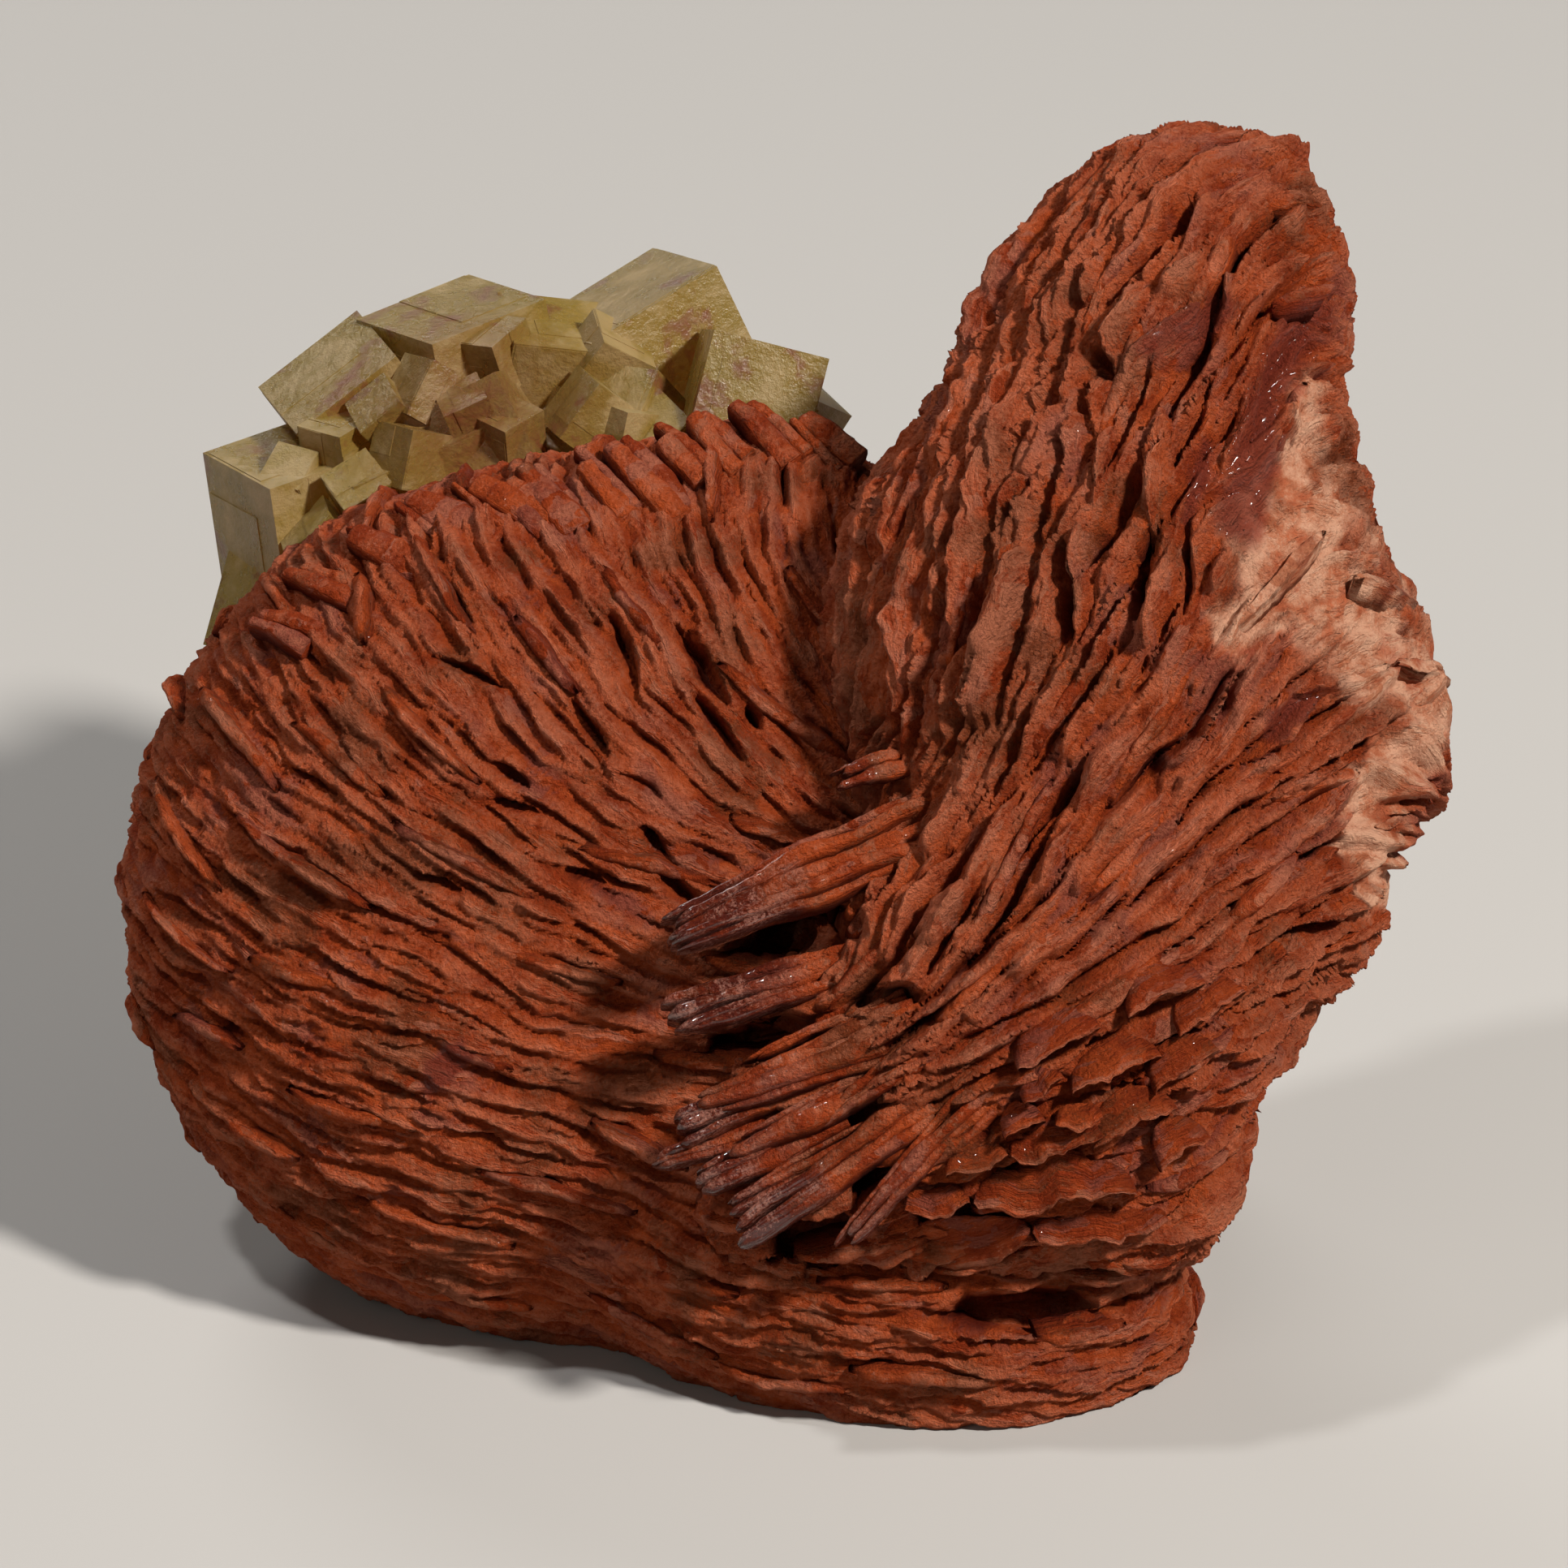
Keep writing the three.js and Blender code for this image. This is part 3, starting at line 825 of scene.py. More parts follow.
@dataclass(frozen=True)
class BladePacking:
    """How blades are packed on one fan, and the relief that they give its skin."""

    fan: FanForm
    seed: int
    sizes: tuple[LeafSize, ...]
    cracks: LeafSize = CRACKS
    swing: float = 9.0
    jitter: float = 6.0
    groove: float = 1.0
    shear: float = 0.6
    swell: float = 0.45
    strata: float = 0.19
    least_edge: float = 0.3
    tallness: float = 1.0
    chip: Pair = (0.9, 2.6)
    chip_height: float = 0.13
    roundest: float = 1.05
    raggedness: float = 1.0
    ridges: tuple[Ridge, ...] = ()
    clefts: tuple[Ridge, ...] = ()

    def grown(self, points: Array) -> list[Leaves]:
        """Scatters blades of every size, and cracks, over the fan.

        Args:
            points: N by 3 places that they may start from.

        Returns:
            The blades of each size, largest first, and then the cracks.
        """
        random = np.random.default_rng(self.seed)
        axes = self._axes(points, self.fan.normal(points))
        shades = face_shades(points)
        sheeted = 1.0 - 0.55 * SHEETED.strength(points) * (points[:, 2] > 0.0)
        soft = self._softened(shades) * self.tallness * sheeted
        every = (*self.sizes, self.cracks)
        blades = [self._scattered(size, points, axes, soft, random) for size in every]
        if self.ridges:
            blades.insert(0, self._placed(self.ridges))
        if self.clefts:
            blades[-1] = blades[-1].joined(self._placed(self.clefts))
        return blades

    def _placed(self, ridges: tuple[Ridge, ...]) -> Leaves:
        """Lays the given ridges or clefts on the fan's front.

        Args:
            ridges: the ridges.

        Returns:
            One blade for each.
        """
        foot, head, width, height, tone = (
            np.array([getattr(ridge, key) for ridge in ridges], dtype=float)
            for key in ("foot", "head", "width", "height", "tone")
        )
        low, middle, high = (
            np.column_stack([flat, self.fan.front(flat)])
            for flat in (foot, (foot + head) / 2.0, head)
        )
        normal = self.fan.normal(middle)
        along = unit(high - low - dot(high - low, normal) * normal)
        side = np.cross(normal, along)
        side = side * np.sign(dot(side, self.fan.across(middle)))
        return Leaves(
            at=middle,
            axes=np.stack([along, side, normal], axis=1),
            length=np.linalg.norm(high - low, axis=1),
            width=width,
            height=height,
            tone=tone,
        )

    def moved(self, points: Array, quads: Array, blades: list[Leaves]) -> tuple[Array, Shades]:
        """Raises blades out of a stretch of smooth skin.

        Args:
            points: N by 3 places on the fan's smooth surface.
            quads: the faces between them.
            blades: the blades of each size, and the cracks.

        Returns:
            The places on the blades, and their values for the finish.
        """
        normal = self.fan.normal(points)
        axes = self._axes(points, normal)
        lean = self.fan.lean(points) + 0.25 * noise(points, 3.7, self.seed + 1)
        lean = np.clip(lean, -0.8, 0.8)
        shades = face_shades(points)
        soft = self._softened(shades)
        warped = points + self._shaken(points, 4.5, 0.42, 10) + self._shaken(points, 1.3, 0.13, 13)
        grid = SpotGrid(warped, 1.6)
        relief, cuts = self._flat(len(points)), self._flat(len(points))
        for leaves in blades[:-1]:
            self._raise(relief, leaves, grid, warped, lean)
        self._raise(cuts, blades[-1], grid, warped, np.zeros(len(points)))
        ragged = 1.0 + 0.17 * self.raggedness * noise(points, 1.5, self.seed + 2)
        ragged += 0.09 * self.raggedness * noise(points, 0.6, self.seed + 3)
        strata = noise(relief.layer / np.array([0.44, 3.0, 0.29]), 1.0, self.seed + 4)
        strata += 0.5 * noise(relief.layer / np.array([0.3, 1.2, 0.29]), 1.0, self.seed + 9)
        strata = strata * self.strata
        chips, flats = chip_pattern(relief.layer / np.array([*self.chip, 0.37]), self.seed)
        flakes = self.chip_height * flats
        level = relief.height * ragged + (strata + flakes) * soft - cuts.height * soft
        level = settled_level(level, quads)
        broad = self.swell * noise(points, 7.0, self.seed + 5)
        out = normal * (level - self.groove + broad)[:, None]
        shift = axes[:, 1] * (self.shear * lean * level)[:, None]
        grown = points + out + shift
        grown += self._shaken(grown, 0.8, 0.07, 16) + self._shaken(grown, 0.42, 0.05, 19)
        # Rim follows the ridges and the height of the relief, so the finish paints shade in the
        # grooves and a highlight on the crests.
        tall = np.clip(level / (2.0 * self.tallness), -0.3, 1.1)
        shades[Shade.RIM] = 0.5 * relief.ridge + 0.5 * tall
        shades[Shade.TONE] = 0.55 * relief.tone + 0.45 * chips
        shades[Shade.LAYER] = relief.layer
        shades[Shade.BORDER] = border_share(relief.layer, quads)
        return grown, shades

    def _axes(self, points: Array, normal: Array) -> Array:
        """Works out how blades lie at each place.

        Args:
            points: N by 3 places.
            normal: the surface's normals there.

        Returns:
            The along, side and outward directions, as the rows of N matrices.
        """
        across = self.fan.across(points)
        side = unit(across - dot(across, normal) * normal)
        along = np.cross(normal, side)
        swing = self.swing * noise(points, 6.5, self.seed + 6)
        swing += 0.35 * self.swing * noise(points, 2.6, self.seed + 7)
        return np.stack([*turned(along, side, swing), normal], axis=1)

    @staticmethod
    def _softened(shades: Shades) -> Array:
        """How much of the relief is left where the stone is broken or glassy."""
        return 1.0 - 0.85 * shades[Shade.PALE] - 0.6 * shades[Shade.WINE]

    def _shaken(self, points: Array, size: float, reach: float, seed: int) -> Array:
        """Smooth moves in all three directions."""
        moves = [noise(points, size, self.seed + seed + axis) for axis in range(3)]
        return reach * np.stack(moves, axis=-1)

    @staticmethod
    def _flat(count: int) -> Relief:
        """A relief that nothing has been raised on."""
        return Relief(np.zeros(count), np.zeros(count), np.full(count, 0.5), np.zeros((count, 3)))

    def _scattered(
        self, size: LeafSize, points: Array, axes: Array, soft: Array, random: np.random.Generator
    ) -> Leaves:
        """Scatters blades of one size over the skin.

        Args:
            size: the sizes to choose from.
            points: places that blades may start from.
            axes: the directions at those places.
            soft: how tall blades may grow there, as a share.
            random: the source of chance.

        Returns:
            The blades.
        """
        chosen = random.permutation(len(points))[: size.tried]
        kept = chosen[spread_out(points[chosen], axes[chosen], size.along, size.across)]
        many = len(kept)
        turn = random.uniform(-self.jitter, self.jitter, many)
        along, side, out = np.moveaxis(axes[kept], 1, 0)
        clump = 1.0 + 0.32 * noise(points[kept], 5.0, self.seed + 8)
        return Leaves(
            at=points[kept],
            axes=np.stack([*turned(along, side, turn), out], axis=1),
            length=random.uniform(*size.length, many),
            width=random.uniform(*size.width, many),
            height=random.uniform(*size.height, many) * clump * soft[kept],
            tone=random.uniform(0.0, 1.0, many),
        )

    def _raise(
        self, relief: Relief, leaves: Leaves, grid: SpotGrid, warped: Array, lean: Array
    ) -> None:
        """Raises the relief where blades stand higher than what is there.

        Args:
            relief: what is there, changed in place.
            leaves: the blades.
            grid: finds places near a blade.
            warped: the places, shaken so that no outline is regular.
            lean: which side of a blade is raised, at each place.
        """
        for number, at in enumerate(leaves.at):
            along, side, out = leaves.axes[number]
            half = np.array([leaves.length[number], leaves.width[number]]) / 2.0
            reach = np.abs(along) * half[0] + np.abs(side) * half[1] + np.abs(out) * 1.2
            near = grid.within(at - reach, at + reach)
            away = warped[near] - at
            run, over = away @ along / half[0], away @ side / half[1]
            room = np.clip(1.0 - np.abs(run) ** 2.2, 0.0, 1.0) ** 0.8
            inside = (np.abs(over) < room) & (np.abs(away @ out) < 2.5)
            near, run, over, room = near[inside], run[inside], over[inside], room[inside]
            most = max(0.0, 1.0 - self.least_edge / half[1])
            peak = np.clip(lean[near], -most, most)
            share = over / room
            before = share < peak
            ramp = np.where(before, (share + 1.0) / (peak + 1.0), (1.0 - share) / (1.0 - peak))
            sharp = 0.25 + 0.5 * np.where(before, peak + 1.0, 1.0 - peak)
            sharp = np.clip(sharp, 0.35, self.roundest)
            ramp = np.clip(ramp, 0.0, 1.0) ** sharp
            height = leaves.height[number] * room**0.7 * ramp
            better = height > relief.height[near]
            near = near[better]
            relief.height[near] = height[better]
            relief.ridge[near] = ramp[better]
            relief.tone[near] = leaves.tone[number]
            place = [over[better] * half[1], run[better] * half[0], np.full(len(near), number)]
            relief.layer[near] = np.stack(place, axis=-1)


@dataclass
class Skin:
    """An even mesh over both fans: whose surface each vertex is on, and how it faces."""

    points: Array
    quads: Array
    owner: Array
    facing: Array

    def part(self, chosen: Array) -> "Skin":
        """Takes a part of the skin.

        Args:
            chosen: which faces to take.

        Returns:
            Those faces and their vertices.
        """
        used, corners = np.unique(self.quads[chosen], return_inverse=True)
        corners = corners.reshape(-1, 4)
        return Skin(self.points[used], corners, self.owner[used], self.facing[used])


@dataclass
class BladedRock:
    """The two fans of packed barite blades, as one rock."""

    face: FaceFrame
    packings: tuple[BladePacking, ...]
    fine_cell: float = 0.21
    coarse_cell: float = 0.4
    ball_detail: int = 6
    back_begins: float = -0.25
    overlap: float = 0.05
    lower_begins: float = -8.0
    coarse: Skin | None = None
    pieces: list[Piece] = field(default_factory=list)

    def build(self, material: Material) -> None:
        """Builds and dresses the rock.

        Args:
            material: the mineral's finish.
        """
        coarse = self.coarse = self._smooth_skin(self.coarse_cell)
        blades = [packing.grown(self.places(n)) for n, packing in enumerate(self.packings)]
        fine = self._smooth_skin(self.fine_cell)
        turned = fine.facing[fine.quads[:, 0]]
        self._dress(fine.part(turned > self.back_begins - self.overlap), blades, True, material)
        turned = coarse.facing[coarse.quads[:, 0]]
        self._dress(coarse.part(turned < self.back_begins + self.overlap), blades, False, material)

    def places(self, number: int) -> Array:
        """Places on one fan's smooth surface, for blades that stand clear."""
        return self.coarse.points[self.coarse.owner == number]

    def _dress(
        self, skin: Skin, blades: list[list[Leaves]], front: bool, material: Material
    ) -> None:
        """Raises the blades of both fans on a skin and makes its pieces.

        Args:
            skin: the smooth skin.
            blades: each fan's blades.
            front: whether this is the front.
            material: the mineral's finish.
        """
        grown = skin.points.copy()
        shades = {shade: np.zeros(len(grown)) for shade in Shade}
        shades[Shade.LAYER] = np.zeros(grown.shape)
        for number, packing in enumerate(self.packings):
            mine = skin.owner == number
            within = skin.quads[np.all(mine[skin.quads], axis=1)]
            renumbered = np.cumsum(mine) - 1
            moved = packing.moved(skin.points[mine], renumbered[within], blades[number])
            grown[mine], found = moved
            for shade, values in found.items():
                shades[shade][mine] = values
        sunk = [hollow.depth * hollow.share(skin.points) for hollow in HOLLOWS]
        grown[:, 2] -= np.max(sunk, axis=0)
        placed = self.face.to_row(grown)
        normals = vertex_normals(placed, skin.quads)
        first = skin.quads[:, 0]
        left = skin.owner[first] == 0
        high = skin.points[first, 1] > self.lower_begins
        if front:
            parts = {
                Region.LEFT_UPPER: left & high,
                Region.LEFT_LOWER: left & ~high,
                Region.RIGHT_UPPER: ~left & high,
                Region.RIGHT_LOWER: ~left & ~high,
            }
        else:
            parts = {Region.LEFT_BACK: left, Region.RIGHT_BACK: ~left}
        for region, chosen in parts.items():
            quads = skin.quads[chosen]
            self.pieces.append(build_part(region.value, placed, quads, shades, normals, material))

    def _smooth_skin(self, cell: float) -> Skin:
        """An even mesh over both fans together, before any blade is raised.

        Args:
            cell: the width of its faces in millimetres.

        Returns:
            The skin, in face millimetres.
        """
        shape = bmesh.new()
        for packing in self.packings:
            ball = bmesh.ops.create_icosphere(shape, subdivisions=self.ball_detail, radius=1.0)
            rays = np.array([vertex.co[:] for vertex in ball["verts"]])
            for vertex, place in zip(ball["verts"], packing.fan.reached(rays)):
                vertex.co = place
        mesh = bpy.data.meshes.new("skin")
        shape.to_mesh(mesh)
        shape.free()
        body = put_in_scene("skin", mesh)
        modify(body, "REMESH", mode="VOXEL", voxel_size=cell)
        graph = bpy.context.evaluated_depsgraph_get()
        made = body.evaluated_get(graph).to_mesh()
        places = np.empty(3 * len(made.vertices), dtype=np.float32)
        corners = np.empty(len(made.loops), dtype=np.int32)
        made.vertices.foreach_get("co", places)
        made.loops.foreach_get("vertex_index", corners)
        body.to_mesh_clear()
        bpy.data.objects.remove(body)
        bpy.data.meshes.remove(mesh)
        return self._owned(places.reshape(-1, 3).astype(float), corners.reshape(-1, 4))

    def _owned(self, points: Array, quads: Array) -> Skin:
        """Gives each vertex to the fan that it lies on, and settles it on that surface.

        Args:
            points: the vertices.
            quads: the faces.

        Returns:
            The skin.
        """
        fans = [packing.fan for packing in self.packings]
        owner = np.argmin([fan.distance(points) for fan in fans], axis=0)
        facing = np.zeros(len(points))
        for number, fan in enumerate(fans):
            mine = owner == number
            points[mine] = fan.settled(points[mine], 2)
            facing[mine] = fan.normal(points[mine])[:, 2]
        return Skin(points, quads, owner, facing)


def settled_level(level: Array, quads: Array) -> Array:
    """Levels out steps that are finer than the mesh.

    Args:
        level: a height for each vertex.
        quads: the faces between the vertices.

    Returns:
        Heights that are drawn some way to the mean of their neighbours'.
    """
    total, count = np.zeros(len(level)), np.zeros(len(level))
    for corner in range(4):
        here, there = quads[:, corner], quads[:, (corner + 1) % 4]
        total += np.bincount(here, level[there], len(level))
        total += np.bincount(there, level[here], len(level))
        count += np.bincount(here, minlength=len(level))
        count += np.bincount(there, minlength=len(level))
    around = np.where(count > 0, total / np.maximum(count, 1), level)
    return 0.7 * level + 0.3 * around


def border_share(layer: Array, quads: Array) -> Array:
    """Finds the places where one blade ends and another begins.

    Args:
        layer: the blades' own layers at each vertex, N by 3.
        quads: the faces between the vertices.

    Returns:
        1 for the vertices of faces that lie on two blades, and 0 for all others.
    """
    corners = layer[quads]
    jumps = np.abs(corners - np.roll(corners, 1, axis=1)).max(axis=(1, 2)) > 0.9
    share = np.zeros(len(layer))
    share[quads[jumps].ravel()] = 1.0
    return share


def vertex_normals(points: Array, quads: Array) -> Array:
    """Smooth normals of a mesh of four-cornered faces.

    Args:
        points: N by 3 vertices.
        quads: the faces.

    Returns:
        N unit vectors.
    """
    a, b, c, d = (points[quads[:, corner]] for corner in range(4))
    faces = np.cross(c - a, d - b)
    total = np.zeros_like(points)
    for axis in range(3):
        weights = np.repeat(faces[:, axis], 4)
        total[:, axis] = np.bincount(quads.ravel(), weights, len(points))
    return total / np.maximum(np.linalg.norm(total, axis=1, keepdims=True), 1e-18)


def build_part(
    name: str, points: Array, quads: Array, shades: Shades, normals: Array, material: Material
) -> Piece:
    """Makes a dressed object from some faces of a larger mesh, shaded as part of it.

    Args:
        name: the object's name.
        points: all vertices of the larger mesh, in row metres.
        quads: the faces to take.
        shades: the finish's values at all vertices.
        normals: the larger mesh's normals.
        material: the finish.

    Returns:
        The new object.
    """
    used, corners = np.unique(quads, return_inverse=True)
    own = {shade: values[used] for shade, values in shades.items()}
    piece = build_mesh(name, points[used], corners.reshape(-1, 4), own, material)
    piece.data.normals_split_custom_set_from_vertices(normals[used].astype(np.float32))
    return piece


@dataclass(frozen=True)
class BladeStock:
    """Sizes of the standing blades, in millimetres, and how finely each is meshed."""

    length: Pair
    rise: Pair
    thickness: Pair
    along: float
    across: float
    rings: int
    tried: int
    root: float = 1.7


@dataclass
class Plates:
    """Standing blades, each one row in every array, in face millimetres."""

    at: Array
    normal: Array
    across: Array
    length: Array
    rise: Array
    thickness: Array
    tone: Array


# A blade's cross-section, as shares of its half thickness and of its rise. The last
# value is 1 for the points that lie at the buried root instead.
BLADE_SECTION = (
    (1.0, 0.0, 1.0), (1.1, 0.3, 0.0), (0.95, 0.66, 0.0), (0.62, 0.9, 0.0), (0.12, 1.0, 0.0),
    (-0.42, 0.95, 0.0), (-0.82, 0.74, 0.0), (-1.0, 0.46, 0.0), (-1.1, 0.1, 0.0), (-1.0, 0.0, 1.0),
)


@dataclass
class StandingBlades:
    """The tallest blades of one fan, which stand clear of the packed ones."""

    fan: FanForm
    other: FanForm
    face: FaceFrame
    stock: BladeStock
    seed: int
    buried: float = -1.0
    jitter: float = 10.0
    pieces: list[Piece] = field(default_factory=list)

    def build(self, material: Material, skin: Array) -> None:
        """Builds and dresses the blades.

        Args:
            material: the mineral's finish.
            skin: places of the fan's smooth surface that they may grow from.
        """
        vertices, quads, shades = self._mesh_arrays(self._grown(skin))
        name = f"{self.fan.name}_standing_blades"
        self.pieces.append(build_mesh(name, self.face.to_row(vertices), quads, shades, material))

    def _grown(self, skin: Array) -> Plates:
        """Picks places that keep their distance, and sizes a blade for each.

        Args:
            skin: candidate places.

        Returns:
            The blades.
        """
        random = np.random.default_rng(self.seed)
        places = skin[random.permutation(len(skin))[: self.stock.tried]]
        clear = self.other.distance(places) > self.buried
        clear &= self.face.height(places) > LEAST_HEIGHT
        clear &= np.max([hollow.share(places) for hollow in HOLLOWS], axis=0) < 0.05
        places = places[clear]
        normal = self.fan.normal(places)
        swing = np.tan(np.radians(self.jitter)) * random.uniform(-1, 1, places.shape)
        wanted = unit(self.fan.across(places) + swing)
        along, out, side = self.fan.plate_axes(normal, wanted)
        axes = np.stack([along, side, out], axis=1)
        kept = spread_out(places, axes, self.stock.along, self.stock.across)
        at, many = places[kept], len(kept)
        shades = face_shades(at)
        clump = 1.0 + 0.3 * noise(at, 6.0, self.seed + 40)
        length = random.uniform(*self.stock.length, many)
        length = self._fitted(at, along[kept], length)
        share = length / self.stock.length[1]
        rise = random.uniform(*self.stock.rise, many) * clump * (0.5 + 0.5 * share)
        return Plates(
            at=at,
            normal=normal[kept],
            across=side[kept],
            length=length,
            rise=rise * (1.0 - 1.6 * shades[Shade.PALE] - 0.6 * shades[Shade.WINE]),
            thickness=random.uniform(*self.stock.thickness, many),
            tone=random.uniform(0, 1, many),
        )

    def _fitted(self, at: Array, along: Array, length: Array) -> Array:
        """Shortens blades where the surface curves away under their ends.

        Args:
            at: the blades' places.
            along: the directions of their edges.
            length: the wanted lengths.

        Returns:
            The lengths.
        """
        fitted = length.copy()
        for _ in range(6):
            ends = [self.fan.distance(at + along * k * fitted[:, None]) for k in (-0.5, 0.5)]
            fitted = np.where(np.max(ends, axis=0) > 2.2, 0.85 * fitted, fitted)
        return fitted

    def _mesh_arrays(self, plates: Plates) -> tuple[Array, Array, Shades]:
        """Works out the vertices and faces of the blades.

        Args:
            plates: the blades.

        Returns:
            Vertices in face millimetres, faces, and the finish's vertex values.
        """
        count, rings, sides = len(plates.at), self.stock.rings, len(BLADE_SECTION)
        reach = np.linspace(-1.0, 1.0, rings)
        key = np.broadcast_to(np.arange(count)[:, None] * 37.0, (count, rings))
        run = reach[None] * plates.length[:, None] / 2.0
        trace = np.stack([run, key, np.zeros_like(run)], axis=-1)
        base, out, across = self._base_lines(plates, trace)
        lens = np.clip(1.0 - np.abs(reach) ** 2.2, 0.0, 1.0)[None]
        ragged = 1.0 + 0.38 * noise(trace, 2.4, self.seed)
        ragged += 0.22 * noise(trace, 0.8, self.seed + 1)
        rise = plates.rise[:, None] * lens**0.6 * ragged - 0.5 * (1.0 - lens**0.4)
        half = 0.5 * plates.thickness[:, None] * (0.25 + 0.75 * lens**0.6)
        half = half * (1.0 + 0.3 * noise(trace, 1.8, self.seed + 2))
        section = np.array(BLADE_SECTION)
        high = section[None, None, :, 1] * rise[..., None]
        high = high - section[None, None, :, 2] * self.stock.root
        wide = section[None, None, :, 0] * half[..., None]
        wide = wide + 0.1 * self._furrows(run, key, high) * (section[:, 2] < 0.5)
        points = base[:, :, None] + out[:, :, None] * high[..., None]
        points = points + across[:, :, None] * wide[..., None]
        flat = points.reshape(-1, 3)
        for axis in range(3):
            flat[:, axis] += 0.09 * noise(flat, 0.62, self.seed + 10 + axis)
            flat[:, axis] += 0.05 * noise(flat, 0.32, self.seed + 20 + axis)
        shades = face_shades(flat)
        # Rim rises from root to crest, so the finish paints shade towards the root and a highlight
        # on the crest.
        tall = np.maximum(rise.max(axis=1), 0.5)[:, None, None]
        shades[Shade.RIM] = np.clip(0.25 + 0.75 * high / tall, 0.0, 1.1).ravel()
        shades[Shade.TONE] = np.repeat(plates.tone, rings * sides)
        place = [high, np.broadcast_to(run[..., None], high.shape)]
        place.append(np.broadcast_to(key[..., None] / 7.0, high.shape))
        shades[Shade.LAYER] = np.stack(place, axis=-1).reshape(-1, 3)
        return flat, tube_quads(count, rings, sides), shades

    def _base_lines(self, plates: Plates, trace: Array) -> tuple[Array, Array, Array]:
        """Where each blade's root line runs, and its axes there.

        Args:
            plates: the blades.
            trace: how far along its blade each place is, and where the noise is read for it.

        Returns:
            Points on the surface and the out and across directions, for each blade and place.
        """
        along, _, across = self.fan.plate_axes(plates.normal, plates.across)
        sway = 0.5 * noise(trace, 4.0, self.seed + 3)[..., None]
        line = plates.at[:, None] + along[:, None] * trace[..., :1] + across[:, None] * sway
        base = self.fan.settled(line, 3)
        normal = self.fan.normal(base)
        twist = 0.22 * noise(trace, 6.0, self.seed + 5)[..., None]
        wanted = np.broadcast_to(across[:, None], base.shape) + twist * normal
        _, out, side = self.fan.plate_axes(normal, unit(wanted))
        return base, out, side

    def _furrows(self, run: Array, key: Array, high: Array) -> Array:
        """Fine grooves that run along a blade's broad faces."""
        spread = [np.broadcast_to(values[..., None], high.shape) for values in (run / 5.0, key)]
        return noise(np.stack([*spread, high], axis=-1), 0.3, self.seed + 6)


@dataclass(frozen=True)
class Spear:
    """A free bundle of plates over the valley.

    Its root and tip, how thick it shows from the front, how deep it is, how many plates it
    is made of, how glossy its tip is, and how thick the tip is as a share.
    """

    root: Triple
    tip: Triple
    thick: float
    depth: float
    plates: int = 2
    gloss: float = 0.0
    blunt: float = 0.65


def spears(*rows: tuple[float, ...]) -> tuple[Spear, ...]:
    """Bundles from rows of root, tip, thickness, depth, plates, gloss and bluntness."""
    return tuple(Spear(row[:3], row[3:6], *row[6:]) for row in rows)


